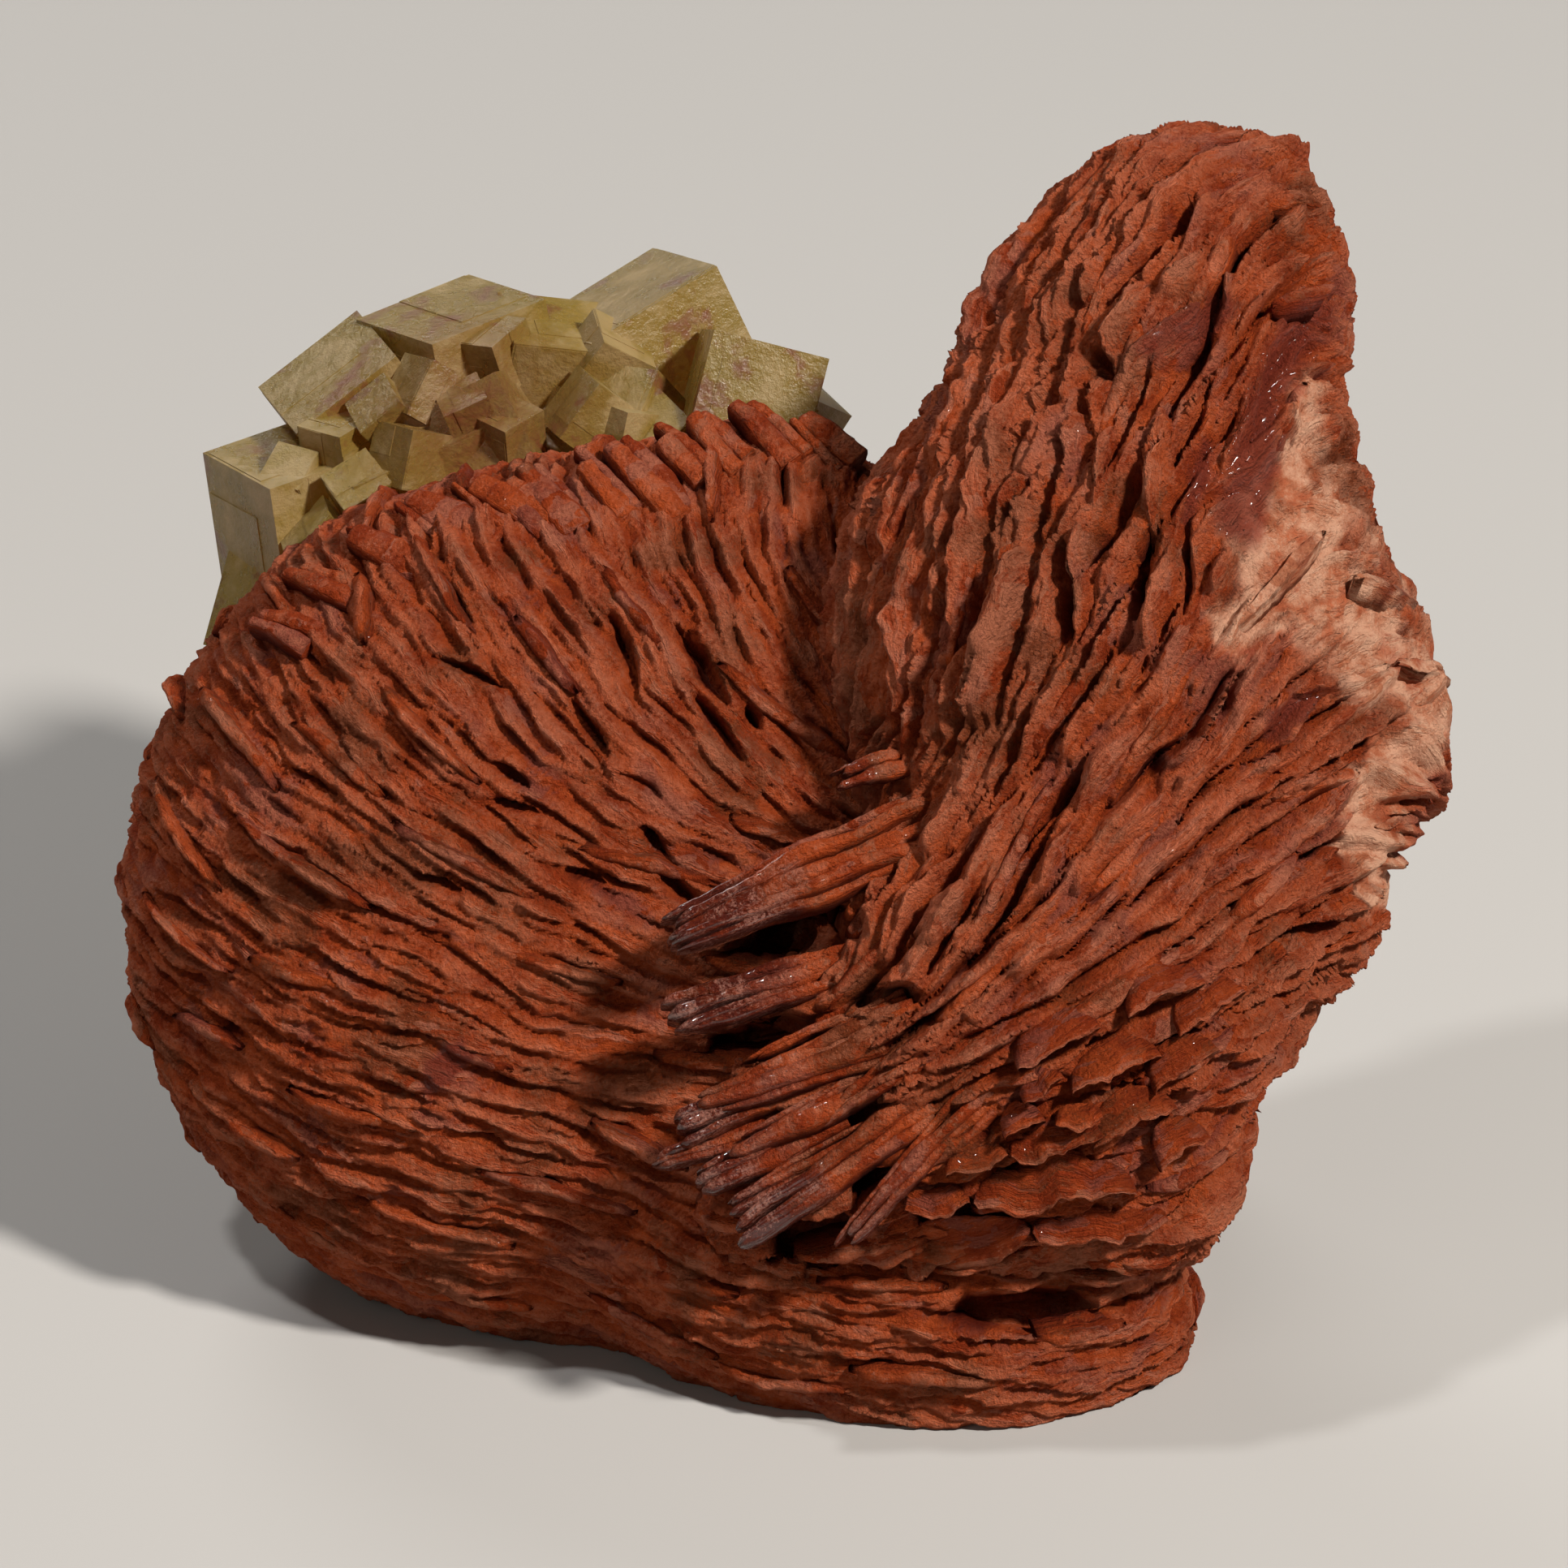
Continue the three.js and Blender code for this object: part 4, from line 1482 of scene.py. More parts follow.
@dataclass
class FreeBlades:
    """Bundles of plates that stand out of a fan: over the valley, or along its crest."""

    name: str
    face: FaceFrame
    seat: FanForm
    spears: tuple[Spear, ...]
    rings: int = 44
    sides: int = 12
    seed: int = 71
    pieces: list[Piece] = field(default_factory=list)

    def build(self, material: Material) -> None:
        """Builds all the bundles as one piece.

        Args:
            material: the finish.
        """
        random = np.random.default_rng(self.seed)
        made = []
        for number, spear in enumerate(self.spears):
            widths = random.uniform(0.45, 1.9, spear.plates)
            widths = 2.0 * widths / widths.sum()
            places = np.cumsum(widths) - widths / 2.0 - 1.0
            for place, (middle, width) in enumerate(zip(places, widths)):
                made.append(self._plate(spear, middle, width, 17 * number + place, random))
        vertices, shades = gathered(made)
        quads = tube_quads(len(made), self.rings, self.sides)
        placed = self.face.to_row(vertices)
        self.pieces.append(build_mesh(self.name, placed, quads, shades, material))

    def _plate(
        self, spear: Spear, place: float, width: float, number: int, random: np.random.Generator
    ) -> tuple[Array, Shades]:
        """One plate of a bundle, seen on its front edge.

        Args:
            spear: the bundle.
            place: the plate's place across the bundle, from -1 to 1.
            width: the plate's share of the bundle's width, of 2 in all.
            number: sets the plate apart from the others in the noise.
            random: the source of chance.

        Returns:
            Vertices in face millimetres and their finish's values.
        """
        root, tip = np.array(spear.root, dtype=float), np.array(spear.tip, dtype=float)
        seated = self.seat.front(root[None, :2])[0] - 0.62 * spear.depth
        root[2] = min(root[2], seated)
        along = unit(tip - root)
        out = np.array([0.1, 0.4, 1.0])
        out = unit(out - np.dot(out, along) * along)
        side = np.cross(along, out)
        length = np.linalg.norm(tip - root)
        stagger = 0.32 - 0.22 * spear.gloss
        begins, ends = random.uniform(0.0, 0.1), 1.0 - random.uniform(0.0, stagger) ** 1.3
        share = np.linspace(begins, ends, self.rings)
        angle = np.linspace(0.0, 2.0 * math.pi, self.sides, endpoint=False)
        run, turns = np.meshgrid(share, angle, indexing="ij")
        thin = np.sign(np.cos(turns)) * np.abs(np.cos(turns)) ** 0.6
        deep = np.sign(np.sin(turns)) * np.abs(np.sin(turns)) ** 0.6
        key = np.full_like(run, 3.0 * number)
        trace = np.stack([run * length, key, 0.0 * key], axis=-1)
        whole = spear.thick * (1.0 - (1.0 - spear.blunt) * rising(0.35, 1.0, run) ** 1.5)
        whole = whole * (1.0 + 0.1 * noise(trace, 4.0, self.seed + 1))
        thickness = whole * width / 2.0 * (1.2 + 0.35 * noise(trace, 2.2, self.seed + 2))
        depth = spear.depth * math.sqrt(1.0 - 0.62 * place**2) * random.uniform(0.72, 1.1)
        depth = depth * (1.0 - 0.3 * run) * (1.0 + 0.13 * noise(trace, 1.5, self.seed + 3))
        depth = depth * (1.0 + 0.07 * noise(trace, 0.5, self.seed + 4))
        closing = np.sqrt(np.clip((ends - run) / 0.05, 0.06, 1.0))
        sway = 0.2 * noise(trace, 3.2, self.seed + 5)
        sway = sway + random.uniform(-0.25, 0.25) * run**2
        sway = sway + random.uniform(-0.5, 0.5) * (1.0 - run) ** 2
        aside = 0.46 * place * whole + sway + thin * thickness / 2.0 * closing
        rises = deep * depth / 2.0 * (0.35 + 0.65 * closing) + 0.4 * np.sin(run * math.pi)
        line = root + along * (run[..., None] * length)
        flat = (line + out * rises[..., None] + side * aside[..., None]).reshape(-1, 3)
        for axis in range(3):
            flat[:, axis] += 0.06 * noise(flat, 0.45, self.seed + 6 + axis)
        ragged = 0.16 * noise(flat, 1.4, self.seed + 9)
        around = (deep * depth / 2.0).ravel()
        # Rim is highest on the edge that faces out, so the finish paints a highlight there and
        # shade on the sides and back.
        edge = rising(-0.3, 1.0, (deep - 0.5 * np.abs(thin)).ravel())
        return flat, {
            Shade.LAYER: np.stack([around, run.ravel() * length, key.ravel()], axis=-1),
            Shade.RIM: 0.12 + 0.6 * edge,
            Shade.TONE: np.full(len(flat), random.uniform(0.0, 1.0)),
            Shade.GLOSS: spear.gloss * rising(0.42, 0.78, run.ravel() + ragged),
        }


SPEARS = spears(
    (9.6, -2.2, 9, -7, -9.2, 13, 4, 4.6, 5, 1, 0.72),
    (8.6, -9.4, 9.5, -7, -14.1, 12, 2.9, 3.8, 4, 1, 0.92),
    (6.4, -6, 8.6, 3.5, -9, 10.4, 2.2, 2.6, 3, 0, 0.7),
    (8.6, -5.4, 9, 4.8, -8.4, 11.2, 1.8, 2.4, 2, 0, 0.7),
    (5.4, -11.7, 9.5, 1.5, -14.5, 11, 2.3, 2.2, 2, 0, 0.6),
    (7.5, -12.6, 12, -3.2, -17.3, 11.6, 1.4, 2.2, 3, 0, 0.45),
    (8.5, -12.8, 13.4, -1, -17.6, 12, 1.9, 2.4, 3, 0.1, 0.5),
    (6.5, -15, 13, -5, -19.2, 12.2, 2.4, 2.6, 3, 0.25, 0.6),
    (2.5, -17.2, 12, -6.4, -20.4, 12, 2.6, 3, 3, 1, 0.85),
    (2, -19.6, 11.6, -7.8, -22.6, 11, 1.9, 2.4, 3, 0.7, 0.7),
    (6, -17.5, 13.2, -3.2, -21.8, 12.4, 1.9, 2.4, 3, 0.3, 0.5),
    (4, -19.6, 12.6, -5.4, -23.8, 11.6, 2.2, 2.8, 3, 0.9, 0.6),
    (9.5, -14.8, 14, 1.6, -20.4, 12.8, 1.7, 2.4, 3, 0.1, 0.5),
    (6.5, -20.4, 13, -3.5, -25.2, 12, 1.8, 2.4, 3, 0.8, 0.6),
    (9.5, -18.4, 14, -2.9, -27, 12.6, 2.4, 3, 3, 1, 0.8),
    (12.5, -17, 14.4, 2.9, -27.8, 12.8, 1.9, 2.8, 3, 0.6, 0.5),
    (12.6, -18.6, 14, 7.4, -23.2, 12.8, 1.5, 2.2, 2, 0.1, 0.6),
    (7.6, 1.2, 9, 2.8, 0.2, 11, 1.6, 1.8, 3, 0.5, 0.6),
    (34.5, 4.5, 2, 40, 6.6, 1, 3.4, 5, 4, 0, 0.35),
    (34.5, 0.6, 1, 40, 3.2, 0, 2.2, 4.4, 3, 0, 0.4),
    (34.5, -1.2, 1, 39.5, 1.3, 0, 1.8, 4, 3, 0, 0.4),
)


CREST_LEAVES = spears(
    (4.1, 18.7, -3, 0.3, 22.1, -6.8, 2.2, 2.8), (1.2, 18.7, -2, -3, 22.9, -6.8, 2.4, 2.8),
    (-2.2, 18.7, -1.5, -6, 22.3, -6.1, 2.2, 2.8), (-4.2, 17.3, -0.3, -7.9, 21.4, -5, 2.1, 2.8),
    (-6.1, 15.3, 1, -10.3, 20.5, -4.2, 2.7, 3), (-9, 15.3, 1, -12.8, 19.8, -3.8, 2.1, 2.8),
    (-11.9, 14.4, 1.6, -15.7, 19.2, -3.6, 2.7, 3), (-13.4, 14.6, 1.4, -17.8, 18.5, -3.2, 2.1, 2.8),
    (-14.8, 14.8, 1, -19.8, 18.2, -3.3, 2.7, 3), (-17.3, 13.4, 1.8, -23.1, 17.1, -3.5, 2.7, 3),
    (-21.1, 12.2, 1.8, -26.5, 15, -2.8, 2.4, 2.8), (-25, 10.5, 1.5, -29.8, 12.7, -3.2, 2.2, 2.6),
    (-27.5, 8.1, 1.8, -31.8, 9.7, -2.3, 2.1, 2.6),
)


@dataclass(frozen=True)
class Eave:
    """A ragged sheet: its lower edge in u and v, how far it reaches up, and its lift."""

    edge: tuple[Pair, ...]
    reach: float
    lift: float = 1.0


@dataclass
class RaggedEaves:
    """The overlapping sheets with scalloped lower edges at the foot of the right fan."""

    face: FaceFrame
    seat: FanForm
    eaves: tuple[Eave, ...]
    columns: int = 90
    rows: int = 10
    thickness: float = 0.3
    clear: float = 0.8
    seed: int = 130
    pieces: list[Piece] = field(default_factory=list)

    def build(self, material: Material) -> None:
        """Builds all the sheets as one piece.

        Args:
            material: the finish.
        """
        made = [self._sheet(eave, number) for number, eave in enumerate(self.eaves)]
        vertices, shades = gathered(made)
        quads = tube_quads(len(made), self.columns, 2 * self.rows)[:, ::-1]
        placed = self.face.to_row(vertices)
        self.pieces.append(build_mesh("ragged_eaves", placed, quads, shades, material))

    def _sheet(self, eave: Eave, number: int) -> tuple[Array, Shades]:
        """One sheet, closed all round.

        Args:
            eave: its sizes.
            number: sets it apart from the others in the noise.

        Returns:
            Vertices in face millimetres and their finish's values.
        """
        line = np.array(eave.edge, dtype=float)
        steps = np.linalg.norm(np.diff(line, axis=0), axis=1)
        run = np.concatenate([[0.0], np.cumsum(steps)])
        share = np.linspace(0.0, 1.0, self.columns)
        place = share * run[-1]
        edge = np.stack([np.interp(place, run, line[:, axis]) for axis in range(2)], axis=1)
        chord = unit(line[-1] - line[0])
        up = np.array([-chord[1], chord[0]]) * (1.0 if chord[0] > 0.0 else -1.0)
        key = np.full(self.columns, 5.0 * number)
        trace = np.stack([place, key, 0.0 * key], axis=-1)
        jag = 0.34 * noise(trace, 1.1, self.seed)
        jag = jag + 0.2 * noise(trace, 0.42, self.seed + 1)
        closing = np.clip(np.sin(share * math.pi), 0.0, 1.0) ** 0.45
        reach = eave.reach * closing
        edge = edge - up * (0.3 * (1.0 - closing))[:, None]
        out = np.linspace(0.0, 1.0, self.rows)
        out = np.concatenate([out, out[::-1]])
        under = np.repeat([0.0, 1.0], self.rows)
        climb = reach[:, None] * (1.0 - out) + (jag * closing)[:, None] * out**4
        flat = edge[:, None] + up * climb[..., None]
        seat_edge = self.seat.front(edge) + eave.lift + self.clear
        seat_back = self.seat.front(edge + up * np.maximum(reach, 0.4)[:, None]) + 0.1
        rise = seat_back[:, None] + (seat_edge - seat_back)[:, None] * out**0.8
        layer = np.stack([
            np.broadcast_to(reach[:, None] * (1.0 - out), rise.shape),
            np.broadcast_to(place[:, None], rise.shape),
            np.full(rise.shape, 9.0 * number + 2.0),
        ], axis=-1)
        bulge = 0.3 * noise(layer, 2.6, self.seed + 2)
        chips, flats = chip_pattern((layer / np.array([1.2, 2.2, 0.37])).reshape(-1, 3), self.seed)
        flakes = 0.07 * flats.reshape(rise.shape)
        thick = self.thickness * (1.0 + 2.4 * (1.0 - out)) * (0.4 + 0.6 * closing[:, None])
        rise = rise + bulge + flakes * (1.0 - under) - thick * under
        points = np.concatenate([flat, rise[..., None]], axis=-1).reshape(-1, 3)
        for axis in range(3):
            points[:, axis] += 0.05 * noise(points, 0.42, self.seed + 3 + axis)
        # Painted shade on each sheet's underside, where Rim is low, and on the top face a Rim that
        # grows towards the lower edge: a painted highlight there and painted shade towards the
        # back, under the sheet above.
        rim = np.where(under > 0.5, -0.05 + 0.3 * out**3, 0.32 + 0.7 * out**4)
        return points, {
            Shade.LAYER: layer.reshape(-1, 3),
            Shade.RIM: np.broadcast_to(rim, (self.columns, len(rim))).ravel(),
            Shade.TONE: 0.5 * chips + 0.5 * ((number * 0.37) % 1.0),
        }


EAVES = (
    Eave(((13.5, -16.5), (15, -16.2), (16.2, -15.7), (18.4, -14)), 2.4, 1.3),
    Eave(((13.9, -18.5), (15.3, -18.4), (16.2, -16.9)), 1.6, 1.1),
    Eave(((16.7, -17.9), (17.9, -17.7), (19.4, -17.2), (21, -16.3), (22, -15.7)), 2.2, 1.0),
    Eave(((20, -13.4), (21.4, -12.6), (23.2, -12.2), (24.6, -11.4)), 2.2, 1.1),
    Eave(((12.8, -20.6), (13.8, -20.3), (15.2, -19.5)), 1.7, 1.1),
    Eave(((15.8, -19.7), (17.1, -20), (17.9, -19.8), (18.6, -19.2)), 1.3, 1.0),
    Eave(((13.2, -21.6), (13.8, -22.2), (14.8, -22.4), (15.5, -21.9), (16.8, -21.7),
          (18.6, -20.4)), 2.3, 1.0),
    Eave(((18, -21.2), (19.4, -20.6), (21, -19.6), (23, -18.8)), 2.2, 0.8),
    Eave(((9.4, -22.8), (10.6, -23), (12.1, -22.7), (13.1, -21.6)), 1.7, 1.1),
    Eave(((11.1, -24.4), (11.4, -24.9), (12.8, -24.8), (13.8, -25.3), (15, -25.3), (16.2, -24.1),
          (17.6, -24.4), (18.1, -24.7), (19.1, -24.2), (20.8, -23.9)), 3.0, 1.1),
    Eave(((7, -24.8), (7.9, -25.4), (8.7, -25.7), (9.6, -25.4), (10.9, -24.4)), 1.9, 1.0),
    Eave(((14.6, -26.1), (15, -26.7), (15.7, -26.9), (16.4, -27.2), (17.4, -27), (18.6, -26.9),
          (19.8, -27.1), (21.2, -26.6), (22.6, -25.4)), 2.0, 1.0),
    Eave(((4, -29.2), (5.3, -29.4), (6, -29.6), (7.5, -29.3), (8.9, -29.1), (10.4, -28.6),
          (12.1, -28.3), (13.5, -27.6), (14.8, -26.6)), 3.4, 1.3),
    Eave(((17, -28), (18.1, -28.6), (19.8, -28.9), (20.8, -29.2), (21.6, -29.3),
          (22.6, -28.6)), 2.0, 0.9),
    Eave(((7.9, -30), (8.9, -30.4), (10.6, -30.3), (11.6, -29.8), (12.8, -29.5)), 1.4, 0.5),
    Eave(((22, -22.6), (23.4, -21.8), (25, -20.6)), 2.4, 0.8),
    Eave(((21.6, -18), (23.4, -17), (25.4, -15.4)), 2.2, 0.9),
    Eave(((23, -14.6), (25, -13.6), (27, -12)), 2.2, 0.9),
)


@dataclass(frozen=True)
class Cube:
    """One fluorite cube: middle, edge, and turns about u, v and w in degrees."""

    at: Triple
    edge: float
    turns: Triple


TOP_CUBES = (
    Cube((-29.4, 16.6, -17), 8.4, (20, 32, 8)), Cube((-26, 22.6, -18.5), 7.8, (25, 20, 33)),
    Cube((-19.7, 25.2, -19), 8.6, (15, 35, 12)), Cube((-14.4, 25.2, -18), 7, (30, 10, -12)),
    Cube((-8, 26, -21), 9.6, (10, 25, 27)), Cube((-2.6, 22.4, -20), 8, (35, 30, -38)),
    Cube((1.2, 17.5, -19), 7, (15, 20, 20)), Cube((-30, 10.6, -17.5), 7, (12, 40, -20)),
    Cube((-21, 18, -17), 10.5, (25, 15, 20)), Cube((-10, 18.5, -18), 11, (20, 40, -15)),
)
SMALL_CUBES = (
    Cube((-27, 20.6, -13.6), 3.6, (20, 50, 10)), Cube((-24.2, 22.4, -12.8), 3.2, (40, 20, 35)),
    Cube((-21.6, 23.6, -13), 3.8, (10, 30, 60)), Cube((-19.2, 22.6, -11.6), 3.0, (35, 15, 20)),
    Cube((-22.6, 19.8, -11.2), 3.8, (15, 40, 75)), Cube((-25.6, 17.6, -11.4), 3.4, (50, 30, 15)),
    Cube((-28, 14.6, -12), 3.8, (25, 10, 40)), Cube((-16.8, 21.2, -11.6), 3.4, (30, 45, 5)),
    Cube((-11.6, 22.2, -12.8), 4.2, (20, 20, 50)), Cube((-7.4, 21, -12.6), 3.8, (45, 35, 25)),
    Cube((-3.8, 20.2, -13.2), 4.4, (15, 25, 70)), Cube((-29.8, 18.6, -13.4), 3.0, (30, 60, 30)),
    Cube((-17.6, 26.2, -14.6), 3.6, (10, 50, 25)), Cube((-10.8, 25.8, -15.6), 4.0, (35, 10, 55)),
)


@dataclass
class FluoriteCluster:
    """The crust of translucent cubes on the back and top of the left fan."""

    face: FaceFrame
    seat: FanForm
    seed: int = 11
    spacing: float = 6.2
    edge: Pair = (6.0, 9.5)
    sink: float = 0.28
    facing: float = -0.3
    middle: float = -12.0
    half_width: float = 14.0
    lowest: float = -2.0
    tried: int = 9000
    step_height: float = 0.055
    softening: float = 0.32
    pieces: list[Piece] = field(default_factory=list)

    def build(self, material: Material) -> None:
        """Builds the cluster as one closed piece.

        Args:
            material: the crystal's finish.
        """
        random = np.random.default_rng(self.seed)
        cubes = [*TOP_CUBES, *SMALL_CUBES, *self._crust_cubes()]
        bodies = [self._stepped_cube(cube, random, number) for number, cube in enumerate(cubes)]
        piece = self._joined(bodies)
        piece.data.materials.append(material)
        self.pieces.append(piece)

    def _crust_cubes(self) -> list[Cube]:
        """Finds the cubes on the back, at the same places as in the solid.

        Returns:
            The cubes.
        """
        reach, even_step = np.array([46.0, 42.0, 34.0]), 1.2207440846
        number = np.arange(1, self.tried + 1)[:, None]
        spread = (0.5 + number / even_step ** np.array([1, 2, 3])) % 1.0
        points = (2.0 * spread - 1.0) * reach
        points = self.seat.settled(points[np.abs(self.seat.distance(points)) < 1.2])
        normals = self.seat.normal(points)
        draw = repeatable_draws(self.seed)
        cubes: list[Cube] = []
        spots: list[Array] = []
        for point, normal in zip(points, normals):
            across = abs(point[0] - self.middle) < self.half_width
            on_back = normal[2] < self.facing and point[1] > self.lowest and across
            close = any(np.linalg.norm(point - spot) < self.spacing for spot in spots)
            if not on_back or close:
                continue
            edge = self.edge[0] + (self.edge[1] - self.edge[0]) * next(draw)
            at = point + normal * self.sink * edge
            turns = (next(draw) * 90.0, next(draw) * 90.0, next(draw) * 90.0)
            cubes.append(Cube(tuple(at), edge, turns))
            spots.append(point)
        return cubes

    def _stepped_cube(self, cube: Cube, random: np.random.Generator, number: int) -> Piece:
        """A cube whose faces carry shallow growth steps.

        Args:
            cube: its place and size.
            random: the source of chance.
            number: told apart in its name.

        Returns:
            A hidden object, in row metres.
        """
        shape = bmesh.new()
        shrunk = cube.edge - 2.0 * self.step_height
        bmesh.ops.create_cube(shape, size=shrunk)
        for axis, way in itertools.product(range(3), (-1, 1)):
            sizes = random.uniform(0.45, 0.86, 3) * shrunk
            sizes[axis] = 0.6
            room = (shrunk - sizes) / 2.0
            middle = room * random.choice((-1.0, 1.0), 3) * random.uniform(0.8, 1.0, 3)
            lift = self.step_height * random.uniform(0.5, 1.0)
            middle[axis] = way * (shrunk / 2.0 + lift - 0.3)
            matrix = Matrix.Translation(Vector(middle)) @ Matrix.Diagonal((*sizes, 1.0))
            bmesh.ops.create_cube(shape, size=1.0, matrix=matrix)
        turn = rotation_uvw(cube.turns)
        place = self.face.matrix() @ Matrix.Translation(Vector(cube.at)) @ turn
        bmesh.ops.transform(shape, matrix=place, verts=shape.verts)
        mesh = bpy.data.meshes.new(f"cube_{number}")
        shape.to_mesh(mesh)
        shape.free()
        return bpy.data.objects.new(mesh.name, mesh)

    def _joined(self, bodies: list[Piece]) -> Piece:
        """Joins all cubes into one closed mesh and softens its edges.

        Args:
            bodies: the stepped cubes.

        Returns:
            The shown object.
        """
        store = bpy.data.collections.new("cubes")
        bpy.context.scene.collection.children.link(store)
        base, *others = bodies
        bpy.context.scene.collection.objects.link(base)
        for body in others:
            store.objects.link(body)
        modify(
            base, "BOOLEAN", operation="UNION", operand_type="COLLECTION", collection=store,
            solver="EXACT", use_self=True,
        )
        modify(
            base, "BEVEL", width=self.softening * METRES, segments=2, limit_method="ANGLE",
            angle_limit=math.radians(25), harden_normals=True,
        )
        graph = bpy.context.evaluated_depsgraph_get()
        mesh = bpy.data.meshes.new_from_object(base.evaluated_get(graph))
        piece = put_in_scene("fluorite_cubes", mesh)
        for body in bodies:
            bpy.data.objects.remove(body)
        bpy.data.collections.remove(store)
        return piece


def rotation_uvw(turns: Triple) -> Matrix:
    """A turn about u, then v, then w of the turned cube, as the solid's cubes are turned."""
    x, y, z = (Matrix.Rotation(math.radians(turn), 4, axis) for turn, axis in zip(turns, "XYZ"))
    return x @ y @ z


def repeatable_draws(seed: int) -> Iterator[float]:
    """Draws from a small repeatable generator, the same as the solid's.

    Args:
        seed: picks the draws.

    Returns:
        Endless numbers from 0 to 1.
    """
    mask, state = 0xFFFFFFFF, seed
    while True:
        state = (state + 0x6D2B79F5) & mask
        mixed = ((state ^ (state >> 15)) * (1 | state)) & mask
        mixed = ((mixed + (((mixed ^ (mixed >> 7)) * (61 | mixed)) & mask)) & mask) ^ mixed
        yield ((mixed ^ (mixed >> 14)) & mask) / 4294967296.0


class NodeTree:
    """A thin helper that adds and links shader nodes in one line each."""

    def __init__(self, tree: bpy.types.NodeTree) -> None:
        """Keeps the tree that nodes are added to."""
        self.tree = tree

    def add(self, kind: str, inputs: dict | None = None, **settings: object) -> bpy.types.Node:
        """Adds a node and sets or links its inputs.

        Args:
            kind: the node's type.
            inputs: what its inputs take, by name or number.
            **settings: properties of the node itself.

        Returns:
            The node.
        """
        node = self.tree.nodes.new(kind)
        for key, value in settings.items():
            setattr(node, key, value)
        self.feed(node, inputs or {})
        return node

    def feed(self, node: bpy.types.Node, inputs: dict) -> None:
        """Sets or links a node's inputs.

        Args:
            node: the node.
            inputs: input name or number to a value, or to an output socket to link.
        """
        for key, value in inputs.items():
            if isinstance(value, Socket):
                self.tree.links.new(value, node.inputs[key])
            else:
                node.inputs[key].default_value = value

    def math(self, operation: str, *values: Feed, clamp: bool = False) -> Socket:
        """Adds a Math node and gives its output."""
        settings = {"operation": operation, "use_clamp": clamp}
        return self.add("ShaderNodeMath", dict(enumerate(values)), **settings).outputs[0]

    def mix(self, share: Feed, low: Feed, high: Feed) -> Socket:
        """Mixes two colours and gives the output."""
        node = self.add("ShaderNodeMix", {0: share, 6: low, 7: high}, data_type="RGBA")
        return node.outputs[2]

    def span(self, value: Feed, low: float, high: float, to: Pair = (0.0, 1.0)) -> Socket:
        """Maps a range of values smoothly onto another."""
        inputs = {0: value, 1: low, 2: high, 3: to[0], 4: to[1]}
        return self.add("ShaderNodeMapRange", inputs, interpolation_type="SMOOTHSTEP").outputs[0]

    def bump(self, strength: float, distance: float, height: Socket) -> Socket:
        """Turns a height into a normal."""
        inputs = {"Strength": strength, "Distance": distance, "Height": height}
        return self.add("ShaderNodeBump", inputs).outputs[0]

    def value(self, shade: Shade) -> Socket:
        """Reads a vertex value of the mesh."""
        return self.add("ShaderNodeAttribute", attribute_name=shade.value).outputs["Fac"]


def new_group(name: str, inputs: dict[str, tuple], outputs: dict[str, str]) -> bpy.types.NodeTree:
    """Makes an empty shader node group with its sockets.

    Args:
        name: the group's name.
        inputs: socket name to its type and default value.
        outputs: socket name to its type.

    Returns:
        The group's tree.
    """
    tree = bpy.data.node_groups.new(name, "ShaderNodeTree")
    for key, (kind, value) in inputs.items():
        socket = tree.interface.new_socket(key, in_out="INPUT", socket_type=kind)
        if value is not None:
            socket.default_value = value
    for key, kind in outputs.items():
        tree.interface.new_socket(key, in_out="OUTPUT", socket_type=kind)
    return tree


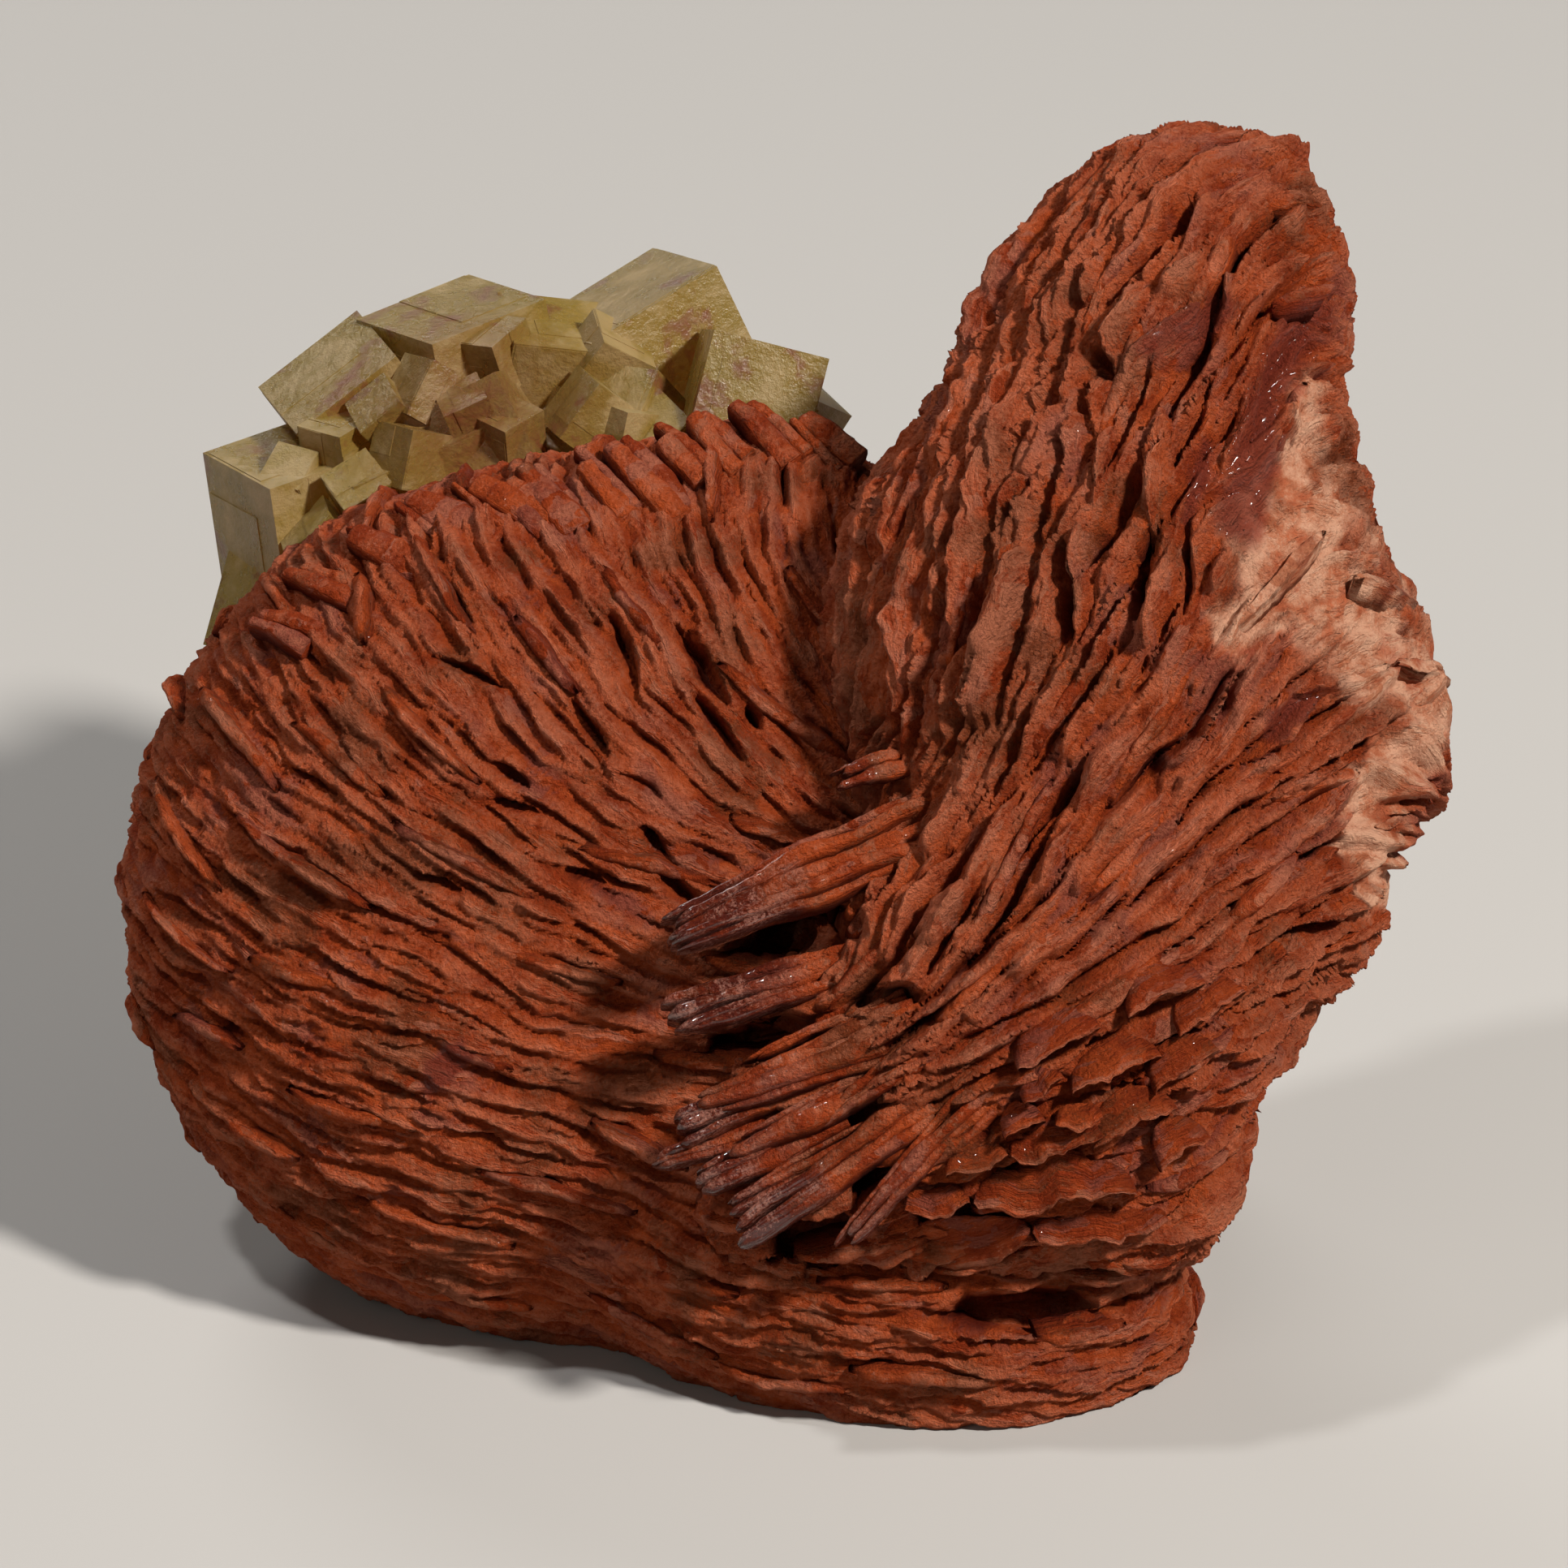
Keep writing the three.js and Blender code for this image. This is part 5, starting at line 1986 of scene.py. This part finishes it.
def grain_group() -> bpy.types.NodeTree:
    """The mineral grain: a granular, flaky height, and masks for its colours.

    Returns:
        A group that reads a place, in metres, and a blade's own layers, in millimetres.
    """
    masks = ("Height", "Speck", "Streak", "Mottle", "Patch", "Chip", "Crumb")
    tree = new_group(
        "Mineral Grain",
        {
            "Vector": ("NodeSocketVector", None),
            "Layer": ("NodeSocketVector", None),
            "Border": ("NodeSocketFloat", 0.0),
            "Grain Scale": ("NodeSocketFloat", 4200.0),
            "Mottle Scale": ("NodeSocketFloat", 420.0),
        },
        {key: "NodeSocketFloat" for key in masks},
    )
    nodes = NodeTree(tree)
    start = nodes.add("NodeGroupInput").outputs
    vector, grain, mottle = start["Vector"], start["Grain Scale"], start["Mottle Scale"]

    def cloud(scale: Feed, detail: float, rough: float = 0.6, place: Socket = vector) -> Socket:
        """Adds a noise texture and gives its strength."""
        inputs = {"Vector": place, "Scale": scale, "Detail": detail, "Roughness": rough}
        return nodes.add("ShaderNodeTexNoise", inputs).outputs[0]

    def stretched(factors: Triple) -> bpy.types.Node:
        """Adds a node that stretches the blade's own layers."""
        inputs = {0: start["Layer"], 1: factors}
        return nodes.add("ShaderNodeVectorMath", inputs, operation="MULTIPLY")

    def calmed(mask: Socket) -> Socket:
        """Draws a mask of the layers to its middle where one blade ends."""
        return nodes.add("ShaderNodeMix", {0: start["Border"], 2: mask, 3: 0.5}).outputs[0]

    streak = calmed(cloud(1.0, 3.0, 0.65, stretched((4.2, 0.42, 0.37)).outputs[0]))
    shaken = nodes.add(
        "ShaderNodeTexNoise", {"Vector": vector, "Scale": nodes.math("MULTIPLY", grain, 0.4)}
    )
    bent = nodes.add(
        "ShaderNodeVectorMath",
        {
            0: shaken.outputs["Color"],
            1: (0.8, 0.5, 0.0),
            2: stretched((1.8, 0.62, 0.37)).outputs[0],
        },
        operation="MULTIPLY_ADD",
    )
    cells = nodes.add("ShaderNodeTexVoronoi", {"Vector": bent.outputs[0], "Scale": 1.0})
    chip = calmed(nodes.add("ShaderNodeSeparateColor", {0: cells.outputs["Color"]}).outputs[0])
    crumbs = nodes.add(
        "ShaderNodeTexVoronoi", {"Vector": vector, "Scale": nodes.math("MULTIPLY", grain, 0.8)}
    )
    flake = calmed(cloud(1.0, 4.0, 0.7, stretched((9.0, 2.4, 0.37)).outputs[0]))
    height = nodes.math("MULTIPLY_ADD", streak, 1.3, cloud(grain, 5.0, 0.68))
    height = nodes.math("MULTIPLY_ADD", flake, 0.25, height)
    speck = nodes.math("ADD", cloud(nodes.math("MULTIPLY", grain, 1.6), 3.0, 0.7), flake)
    nodes.add("NodeGroupOutput", {
        "Height": height,
        "Speck": nodes.math("MULTIPLY_ADD", speck, 0.72, -0.22),
        "Streak": streak,
        "Mottle": cloud(mottle, 4.0),
        "Patch": cloud(nodes.math("MULTIPLY", mottle, 0.4), 3.0, 0.55),
        "Chip": chip,
        "Crumb": nodes.math("SUBTRACT", 1.0, crumbs.outputs["Distance"]),
    })
    return tree


def new_material(name: str) -> tuple[Material, NodeTree, bpy.types.Node]:
    """Makes a material with a Principled BSDF.

    Args:
        name: the material's name.

    Returns:
        The material, a helper for its nodes, and the Principled BSDF.
    """
    material = bpy.data.materials.new(name)
    material.use_nodes = True
    tree = material.node_tree
    return material, NodeTree(tree), tree.nodes["Principled BSDF"]


STAIN_COLOURS = ("Groove", "Brick", "Orange", "Umber", "Mauve", "Dust_And_Highlight")


def stain_and_shade_group() -> bpy.types.NodeTree:
    """Iron-stained colour with painted shade and highlight: dark grooves, brick red faces, paler
    rims.

    Returns:
        A group that reads masks and six colours and gives one colour.
    """
    masks = ("Rim", "Tone", "Mottle", "Patch", "Streak", "Speck", "Chip", "Crumb")
    inputs = {key: ("NodeSocketFloat", 0.5) for key in masks}
    inputs |= {key: ("NodeSocketColor", (0.5, 0.5, 0.5, 1.0)) for key in STAIN_COLOURS}
    tree = new_group("Iron Stain And Shade", inputs, {"Color": "NodeSocketColor"})
    nodes = NodeTree(tree)
    start = nodes.add("NodeGroupInput").outputs

    def total(*parts: tuple[str, float]) -> Socket:
        """Adds up some masks.

        Args:
            *parts: the masks' names and weights.

        Returns:
            The sum.
        """
        first, *others = parts
        result = nodes.math("MULTIPLY", start[first[0]], first[1])
        for key, weight in others:
            result = nodes.math("MULTIPLY_ADD", start[key], weight, result)
        return result

    warm = total(("Mottle", 1.0), ("Tone", 0.34), ("Streak", 0.5), ("Chip", 0.22))
    face = nodes.mix(nodes.span(warm, 0.78, 1.24), start["Brick"], start["Orange"])
    earthy = total(("Patch", 1.0), ("Speck", 0.35), ("Chip", 0.16))
    face = nodes.mix(nodes.span(earthy, 0.77, 0.92, (0.0, 0.85)), face, start["Umber"])
    dusky = total(("Patch", -1.0), ("Chip", 0.3), ("Streak", 0.5), ("Tone", -0.22))
    face = nodes.mix(nodes.span(dusky, -0.16, 0.0, (0.0, 0.75)), face, start["Mauve"])
    # Paler where Rim is high, a painted highlight on the rims, mixed with the pale grain of specks
    # and streaks.
    weights = {"Rim": 0.7, "Speck": 0.5, "Streak": 0.6, "Crumb": 0.15, "Chip": 0.3, "Mottle": 0.5}
    bright = total(*weights.items())
    face = nodes.mix(nodes.span(bright, 1.32, 1.9, (0.0, 0.6)), face, start["Dust_And_Highlight"])
    face = nodes.mix(nodes.span(start["Speck"], 0.6, 0.72, (0.0, 0.4)), face, start["Dust_And_Highlight"])
    pits = total(("Speck", 1.0), ("Crumb", 0.15), ("Mottle", 0.4))
    face = nodes.mix(nodes.span(pits, 0.72, 0.52, (0.0, 0.45)), face, start["Groove"])
    # Painted shade: where Rim is low, in the grooves, at blade roots and under the sheets, the
    # colour goes to the dark groove red, which is partly dark hematite.
    high = nodes.span(start["Rim"], -0.1, 0.5)
    nodes.add("NodeGroupOutput", {"Color": nodes.mix(high, start["Groove"], face)})
    return tree


@dataclass(frozen=True)
class BariteFinish:
    """Iron-stained barite, earthy and granular, with glassy and broken places, painted shade and
    highlights.
    """

    name: str
    # Dark red of the grooves: partly dark hematite and partly painted shade.
    groove: Colour = (0.1, 0.0065, 0.001, 1.0)
    brick: Colour = (0.34, 0.042, 0.008, 1.0)
    orange: Colour = (0.55, 0.088, 0.018, 1.0)
    umber: Colour = (0.19, 0.045, 0.014, 1.0)
    mauve: Colour = (0.33, 0.085, 0.055, 1.0)
    # Pale grain on the faces, and a painted highlight on the rims.
    dust_and_highlight: Colour = (0.74, 0.25, 0.135, 1.0)
    peach: Colour = (0.42, 0.15, 0.075, 1.0)
    chalk: Colour = (0.6, 0.32, 0.205, 1.0)
    wine: Colour = (0.23, 0.036, 0.02, 1.0)
    tip: Colour = (0.13, 0.015, 0.006, 1.0)
    tip_grain: Colour = (0.52, 0.22, 0.16, 1.0)
    bump: float = 1.0
    bump_depth: float = 0.0013
    index: float = 1.6
    coat_roughness: float = 0.09
    specular: float = 0.06

    def material(self, groups: "Groups") -> Material:
        """Builds the material.

        Args:
            groups: the shared node groups.

        Returns:
            The material.
        """
        material, nodes, shader = new_material(self.name)
        layer = nodes.add("ShaderNodeAttribute", attribute_name=Shade.LAYER.value)
        inputs = {
            "Vector": nodes.add("ShaderNodeTexCoord").outputs["Object"],
            "Layer": layer.outputs["Vector"],
            "Border": nodes.value(Shade.BORDER),
            "Grain Scale": 3400.0,
            "Mottle Scale": 420.0,
        }
        grain = nodes.add("ShaderNodeGroup", inputs, node_tree=groups.grain)
        masks = {socket.name: socket for socket in grain.outputs if socket.name != "Height"}
        masks |= {"Rim": nodes.value(Shade.RIM), "Tone": nodes.value(Shade.TONE)}
        colours = {key: getattr(self, key.lower()) for key in STAIN_COLOURS}
        stain_and_shade = nodes.add("ShaderNodeGroup", masks | colours, node_tree=groups.stain_and_shade)
        wine, gloss = nodes.value(Shade.WINE), nodes.value(Shade.GLOSS)
        colour = self._broken(nodes, masks, stain_and_shade.outputs["Color"])
        colour = nodes.mix(nodes.math("MULTIPLY", wine, 0.82), colour, self.wine)
        grains = nodes.math("MULTIPLY_ADD", masks["Mottle"], 0.8, masks["Speck"])
        tips = nodes.mix(nodes.span(grains, 0.86, 1.06, (0.0, 0.85)), self.tip, self.tip_grain)
        shown = nodes.math("MULTIPLY", gloss, nodes.span(masks["Streak"], 0.3, 0.55, (0.55, 1.0)))
        colour = nodes.mix(shown, colour, tips)
        glassy = nodes.math("MAXIMUM", nodes.math("MULTIPLY", wine, 0.22), gloss)
        wet = nodes.span(masks["Streak"], 0.42, 0.58, (0.25, 1.0))
        worn = nodes.math("MULTIPLY_ADD", nodes.value(Shade.PALE), -0.7, 1.0)
        height = nodes.math("MULTIPLY", grain.outputs["Height"], worn)
        sparkle = nodes.span(masks["Speck"], 0.64, 0.72, (0.0, 0.5))
        nodes.feed(shader, {
            "Base Color": colour,
            "Roughness": nodes.span(glassy, 0.1, 0.9, (0.88, 0.45)),
            "Coat Weight": nodes.math("MAXIMUM", nodes.math("MULTIPLY", glassy, wet), sparkle),
            "Coat Roughness": self.coat_roughness,
            "Coat IOR": self.index,
            "Normal": nodes.bump(self.bump, self.bump_depth, height),
            "IOR": self.index,
            "Specular IOR Level": self.specular,
        })
        return material

    def _broken(self, nodes: NodeTree, masks: dict[str, Socket], colour: Socket) -> Socket:
        """Lays the pale, freshly broken stone over the stained colour and its painted shade.

        Args:
            nodes: the material's nodes.
            masks: the grain's masks.
            colour: the stained colour, with its painted shade.

        Returns:
            The colour with the pale areas.
        """
        broken = nodes.math("MULTIPLY_ADD", masks["Speck"], 0.45, masks["Mottle"])
        broken = nodes.math("MULTIPLY_ADD", masks["Chip"], 0.2, broken)
        fresh = nodes.mix(nodes.span(broken, 0.68, 0.98), self.peach, self.chalk)
        stained = nodes.math("MULTIPLY_ADD", masks["Streak"], 0.5, masks["Patch"])
        fresh = nodes.mix(nodes.span(stained, 0.66, 0.54, (0.0, 0.6)), fresh, self.brick)
        worn = nodes.span(masks["Mottle"], 0.34, 0.48, (0.5, 1.0))
        return nodes.mix(nodes.math("MULTIPLY", nodes.value(Shade.PALE), worn), colour, fresh)


@dataclass(frozen=True)
class FluoriteFinish:
    """Translucent yellow-green fluorite, satin outside, milky and earthy in places.

    The core is a place in row metres around which the crystals are full of brown earth.
    """

    core: Triple
    core_reach: float = 0.0095
    name: str = "yellow fluorite"
    clear: Colour = (0.4, 0.27, 0.055, 1.0)
    milky: Colour = (0.6, 0.43, 0.18, 1.0)
    earthy: Colour = (0.3, 0.11, 0.045, 1.0)
    tint: Colour = (0.8, 0.57, 0.15, 1.0)
    density: float = 380.0
    transmission: float = 0.56
    index: float = 1.434
    bump: float = 0.4
    bump_depth: float = 0.0005

    def material(self, groups: "Groups") -> Material:
        """Builds the material.

        Args:
            groups: the shared node groups.

        Returns:
            The material.
        """
        material, nodes, shader = new_material(self.name)
        place = nodes.add("ShaderNodeTexCoord").outputs["Object"]
        inputs = {"Vector": place, "Grain Scale": 1700.0, "Mottle Scale": 260.0}
        grain = nodes.add("ShaderNodeGroup", inputs, node_tree=groups.grain)
        mottle = grain.outputs["Mottle"]
        colour = nodes.mix(nodes.span(mottle, 0.46, 0.66), self.clear, self.milky)
        away = nodes.add("ShaderNodeVectorMath", {0: place, 1: self.core}, operation="DISTANCE")
        near = nodes.math("DIVIDE", away.outputs["Value"], self.core_reach)
        near = nodes.math("SUBTRACT", 1.35, nodes.math("MULTIPLY_ADD", mottle, 0.8, near))
        earth = nodes.math("MAXIMUM", near, nodes.span(mottle, 0.44, 0.34), clamp=True)
        flecks = nodes.span(grain.outputs["Speck"], 0.35, 0.6, (0.5, 1.0))
        earth = nodes.math("MULTIPLY", earth, flecks)
        nodes.feed(shader, {
            "Base Color": nodes.mix(earth, colour, self.earthy),
            "Roughness": nodes.span(mottle, 0.35, 0.65, (0.2, 0.45)),
            "Normal": nodes.bump(self.bump, self.bump_depth, grain.outputs["Height"]),
            "IOR": self.index,
            "Transmission Weight": self.transmission,
        })
        inputs = {"Color": self.tint, "Density": self.density}
        haze = nodes.add("ShaderNodeVolumeAbsorption", inputs)
        nodes.feed(nodes.tree.nodes["Material Output"], {"Volume": haze.outputs[0]})
        return material


@dataclass(frozen=True)
class FloorFinish:
    """Plain pale paper for the floor."""

    name: str = "pale floor"
    colour: Colour = (0.42, 0.405, 0.385, 1.0)
    roughness: float = 0.9

    def material(self) -> Material:
        """Builds the material.

        Returns:
            The material.
        """
        material, nodes, shader = new_material(self.name)
        nodes.feed(shader, {"Base Color": self.colour, "Roughness": self.roughness})
        return material


@dataclass(frozen=True)
class Groups:
    """The shader node groups that several finishes share."""

    grain: bpy.types.NodeTree
    stain_and_shade: bpy.types.NodeTree


@dataclass(frozen=True)
class Lamp:
    """A soft box: where it stands, its size in metres, its power and its colour."""

    name: str
    at: Triple
    size: float
    power: float
    colour: Triple = (1.0, 1.0, 1.0)


@dataclass(frozen=True)
class Studio:
    """Camera, lamps and floor. The photograph's frame is 1932 pixels wide."""

    face: FaceFrame
    frame_pixels: int = 1932
    pixel: float = 0.0485
    distance: float = 700.0
    sensor: float = 36.0
    lamps: tuple[Lamp, ...] = (
        Lamp("key", (0.4, -0.26, 0.54), 0.08, 6.9, (1.0, 0.96, 0.91)),
        Lamp("fill", (-0.36, -0.6, 0.42), 0.5, 0.6, (1.0, 0.93, 0.86)),
        Lamp("back", (-0.25, 0.5, 0.4), 0.3, 1.4),
        Lamp("glint", (-0.27, -0.03, 0.66), 0.05, 1.5),
    )
    sky: float = 0.05

    def camera(self) -> None:
        """Places the camera in front of the face, at the photograph's framing."""
        data = bpy.data.cameras.new("camera")
        data.sensor_width = self.sensor
        data.lens = self.sensor * self.distance / (self.frame_pixels * self.pixel)
        data.clip_start, data.clip_end = 0.01, 20.0
        camera = put_in_scene("camera", data)
        face = self.face.matrix()
        camera.location = face @ Vector((0.0, 0.0, self.distance))
        camera.rotation_euler = face.to_euler()
        bpy.context.scene.camera = camera

    def light(self) -> None:
        """Adds the lamps and a dim even sky."""
        for lamp in self.lamps:
            data = bpy.data.lights.new(lamp.name, "AREA")
            data.shape = "DISK"
            data.size = lamp.size
            data.energy = lamp.power
            data.color = lamp.colour
            light = put_in_scene(lamp.name, data)
            light.location = lamp.at
            aim = Vector((0.0, 0.0, 0.035)) - light.location
            light.rotation_euler = aim.to_track_quat("-Z", "Y").to_euler()
        world = bpy.data.worlds.new("sky")
        world.use_nodes = True
        background = world.node_tree.nodes["Background"]
        background.inputs["Color"].default_value = (1.0, 0.95, 0.9, 1.0)
        background.inputs["Strength"].default_value = self.sky
        bpy.context.scene.world = world

    def floor(self) -> None:
        """Lays the floor under the specimen."""
        bpy.ops.mesh.primitive_plane_add(size=6.0, location=(0.0, 0.0, 0.0))
        floor = bpy.context.active_object
        floor.name = "floor"
        floor.data.materials.append(FloorFinish().material())


STANDING_LEFT = BladeStock((5, 11), (0.3, 0.8), (0.5, 0.9), 9.0, 4.6, 30, 9000)
STANDING_RIGHT = BladeStock((5, 11), (0.4, 1.0), (0.6, 1.1), 9.0, 4.6, 30, 9000)


def hand_over(pieces: list[Piece], node: str) -> None:
    """Makes pieces ride on the body in place of a node, whose own mesh is hidden, and reports
    them.

    Args:
        pieces: the dressed pieces.
        node: the node's name.
    """
    for piece in pieces:
        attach(piece, BODY)
        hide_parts(node)
        LOG.info("%s: %d faces for %s", piece.name, len(piece.data.polygons), node)


def main() -> None:
    """Builds the scene piece by piece and reports each one."""
    logging.basicConfig(level=logging.INFO, format="%(message)s")
    bpy.context.scene.view_settings.view_transform = "Standard"
    face = FaceFrame(cad_box)
    studio = Studio(face)
    studio.camera()
    groups = Groups(grain_group(), stain_and_shade_group())
    crust = BariteFinish("red barite").material(groups)
    core = face.matrix() @ Vector((-18.5, 22.4, -11.0))
    crystal = FluoriteFinish(tuple(core)).material(groups)
    packings = (
        BladePacking(
            LEFT_FAN, 3, (LONG, MIDDLING, SLIVER), groove=0.75, tallness=0.45, clefts=LEFT_CLEFTS
        ),
        BladePacking(
            RIGHT_FAN, 5, (BROAD, LONG, MIDDLING, SLIVER), DEEP_CRACKS, strata=0.4, tallness=0.98,
            chip_height=0.24, roundest=0.72, raggedness=0.8, ridges=RIGHT_RIDGES,
            clefts=RIGHT_CLEFTS,
        ),
    )
    rock = BladedRock(face, packings)
    rock.build(crust)
    hand_over(rock.pieces, "barite")
    pairs = ((LEFT_FAN, RIGHT_FAN, STANDING_LEFT, 7), (RIGHT_FAN, LEFT_FAN, STANDING_RIGHT, 9))
    for number, (fan, other, stock, seed) in enumerate(pairs):
        standing = StandingBlades(fan, other, face, stock, seed)
        standing.build(crust, rock.places(number))
        hand_over(standing.pieces, "barite")
    fringes = (
        FreeBlades("free_blades", face, RIGHT_FAN, SPEARS),
        FreeBlades("crest_leaves", face, LEFT_FAN, CREST_LEAVES, seed=91),
        RaggedEaves(face, RIGHT_FAN, EAVES),
    )
    for fringe in fringes:
        fringe.build(crust)
        hand_over(fringe.pieces, "barite")
    cluster = FluoriteCluster(face, LEFT_FAN)
    cluster.build(crystal)
    hand_over(cluster.pieces, "fluorite")
    studio.light()
    studio.floor()


if __name__ == "__main__":
    main()
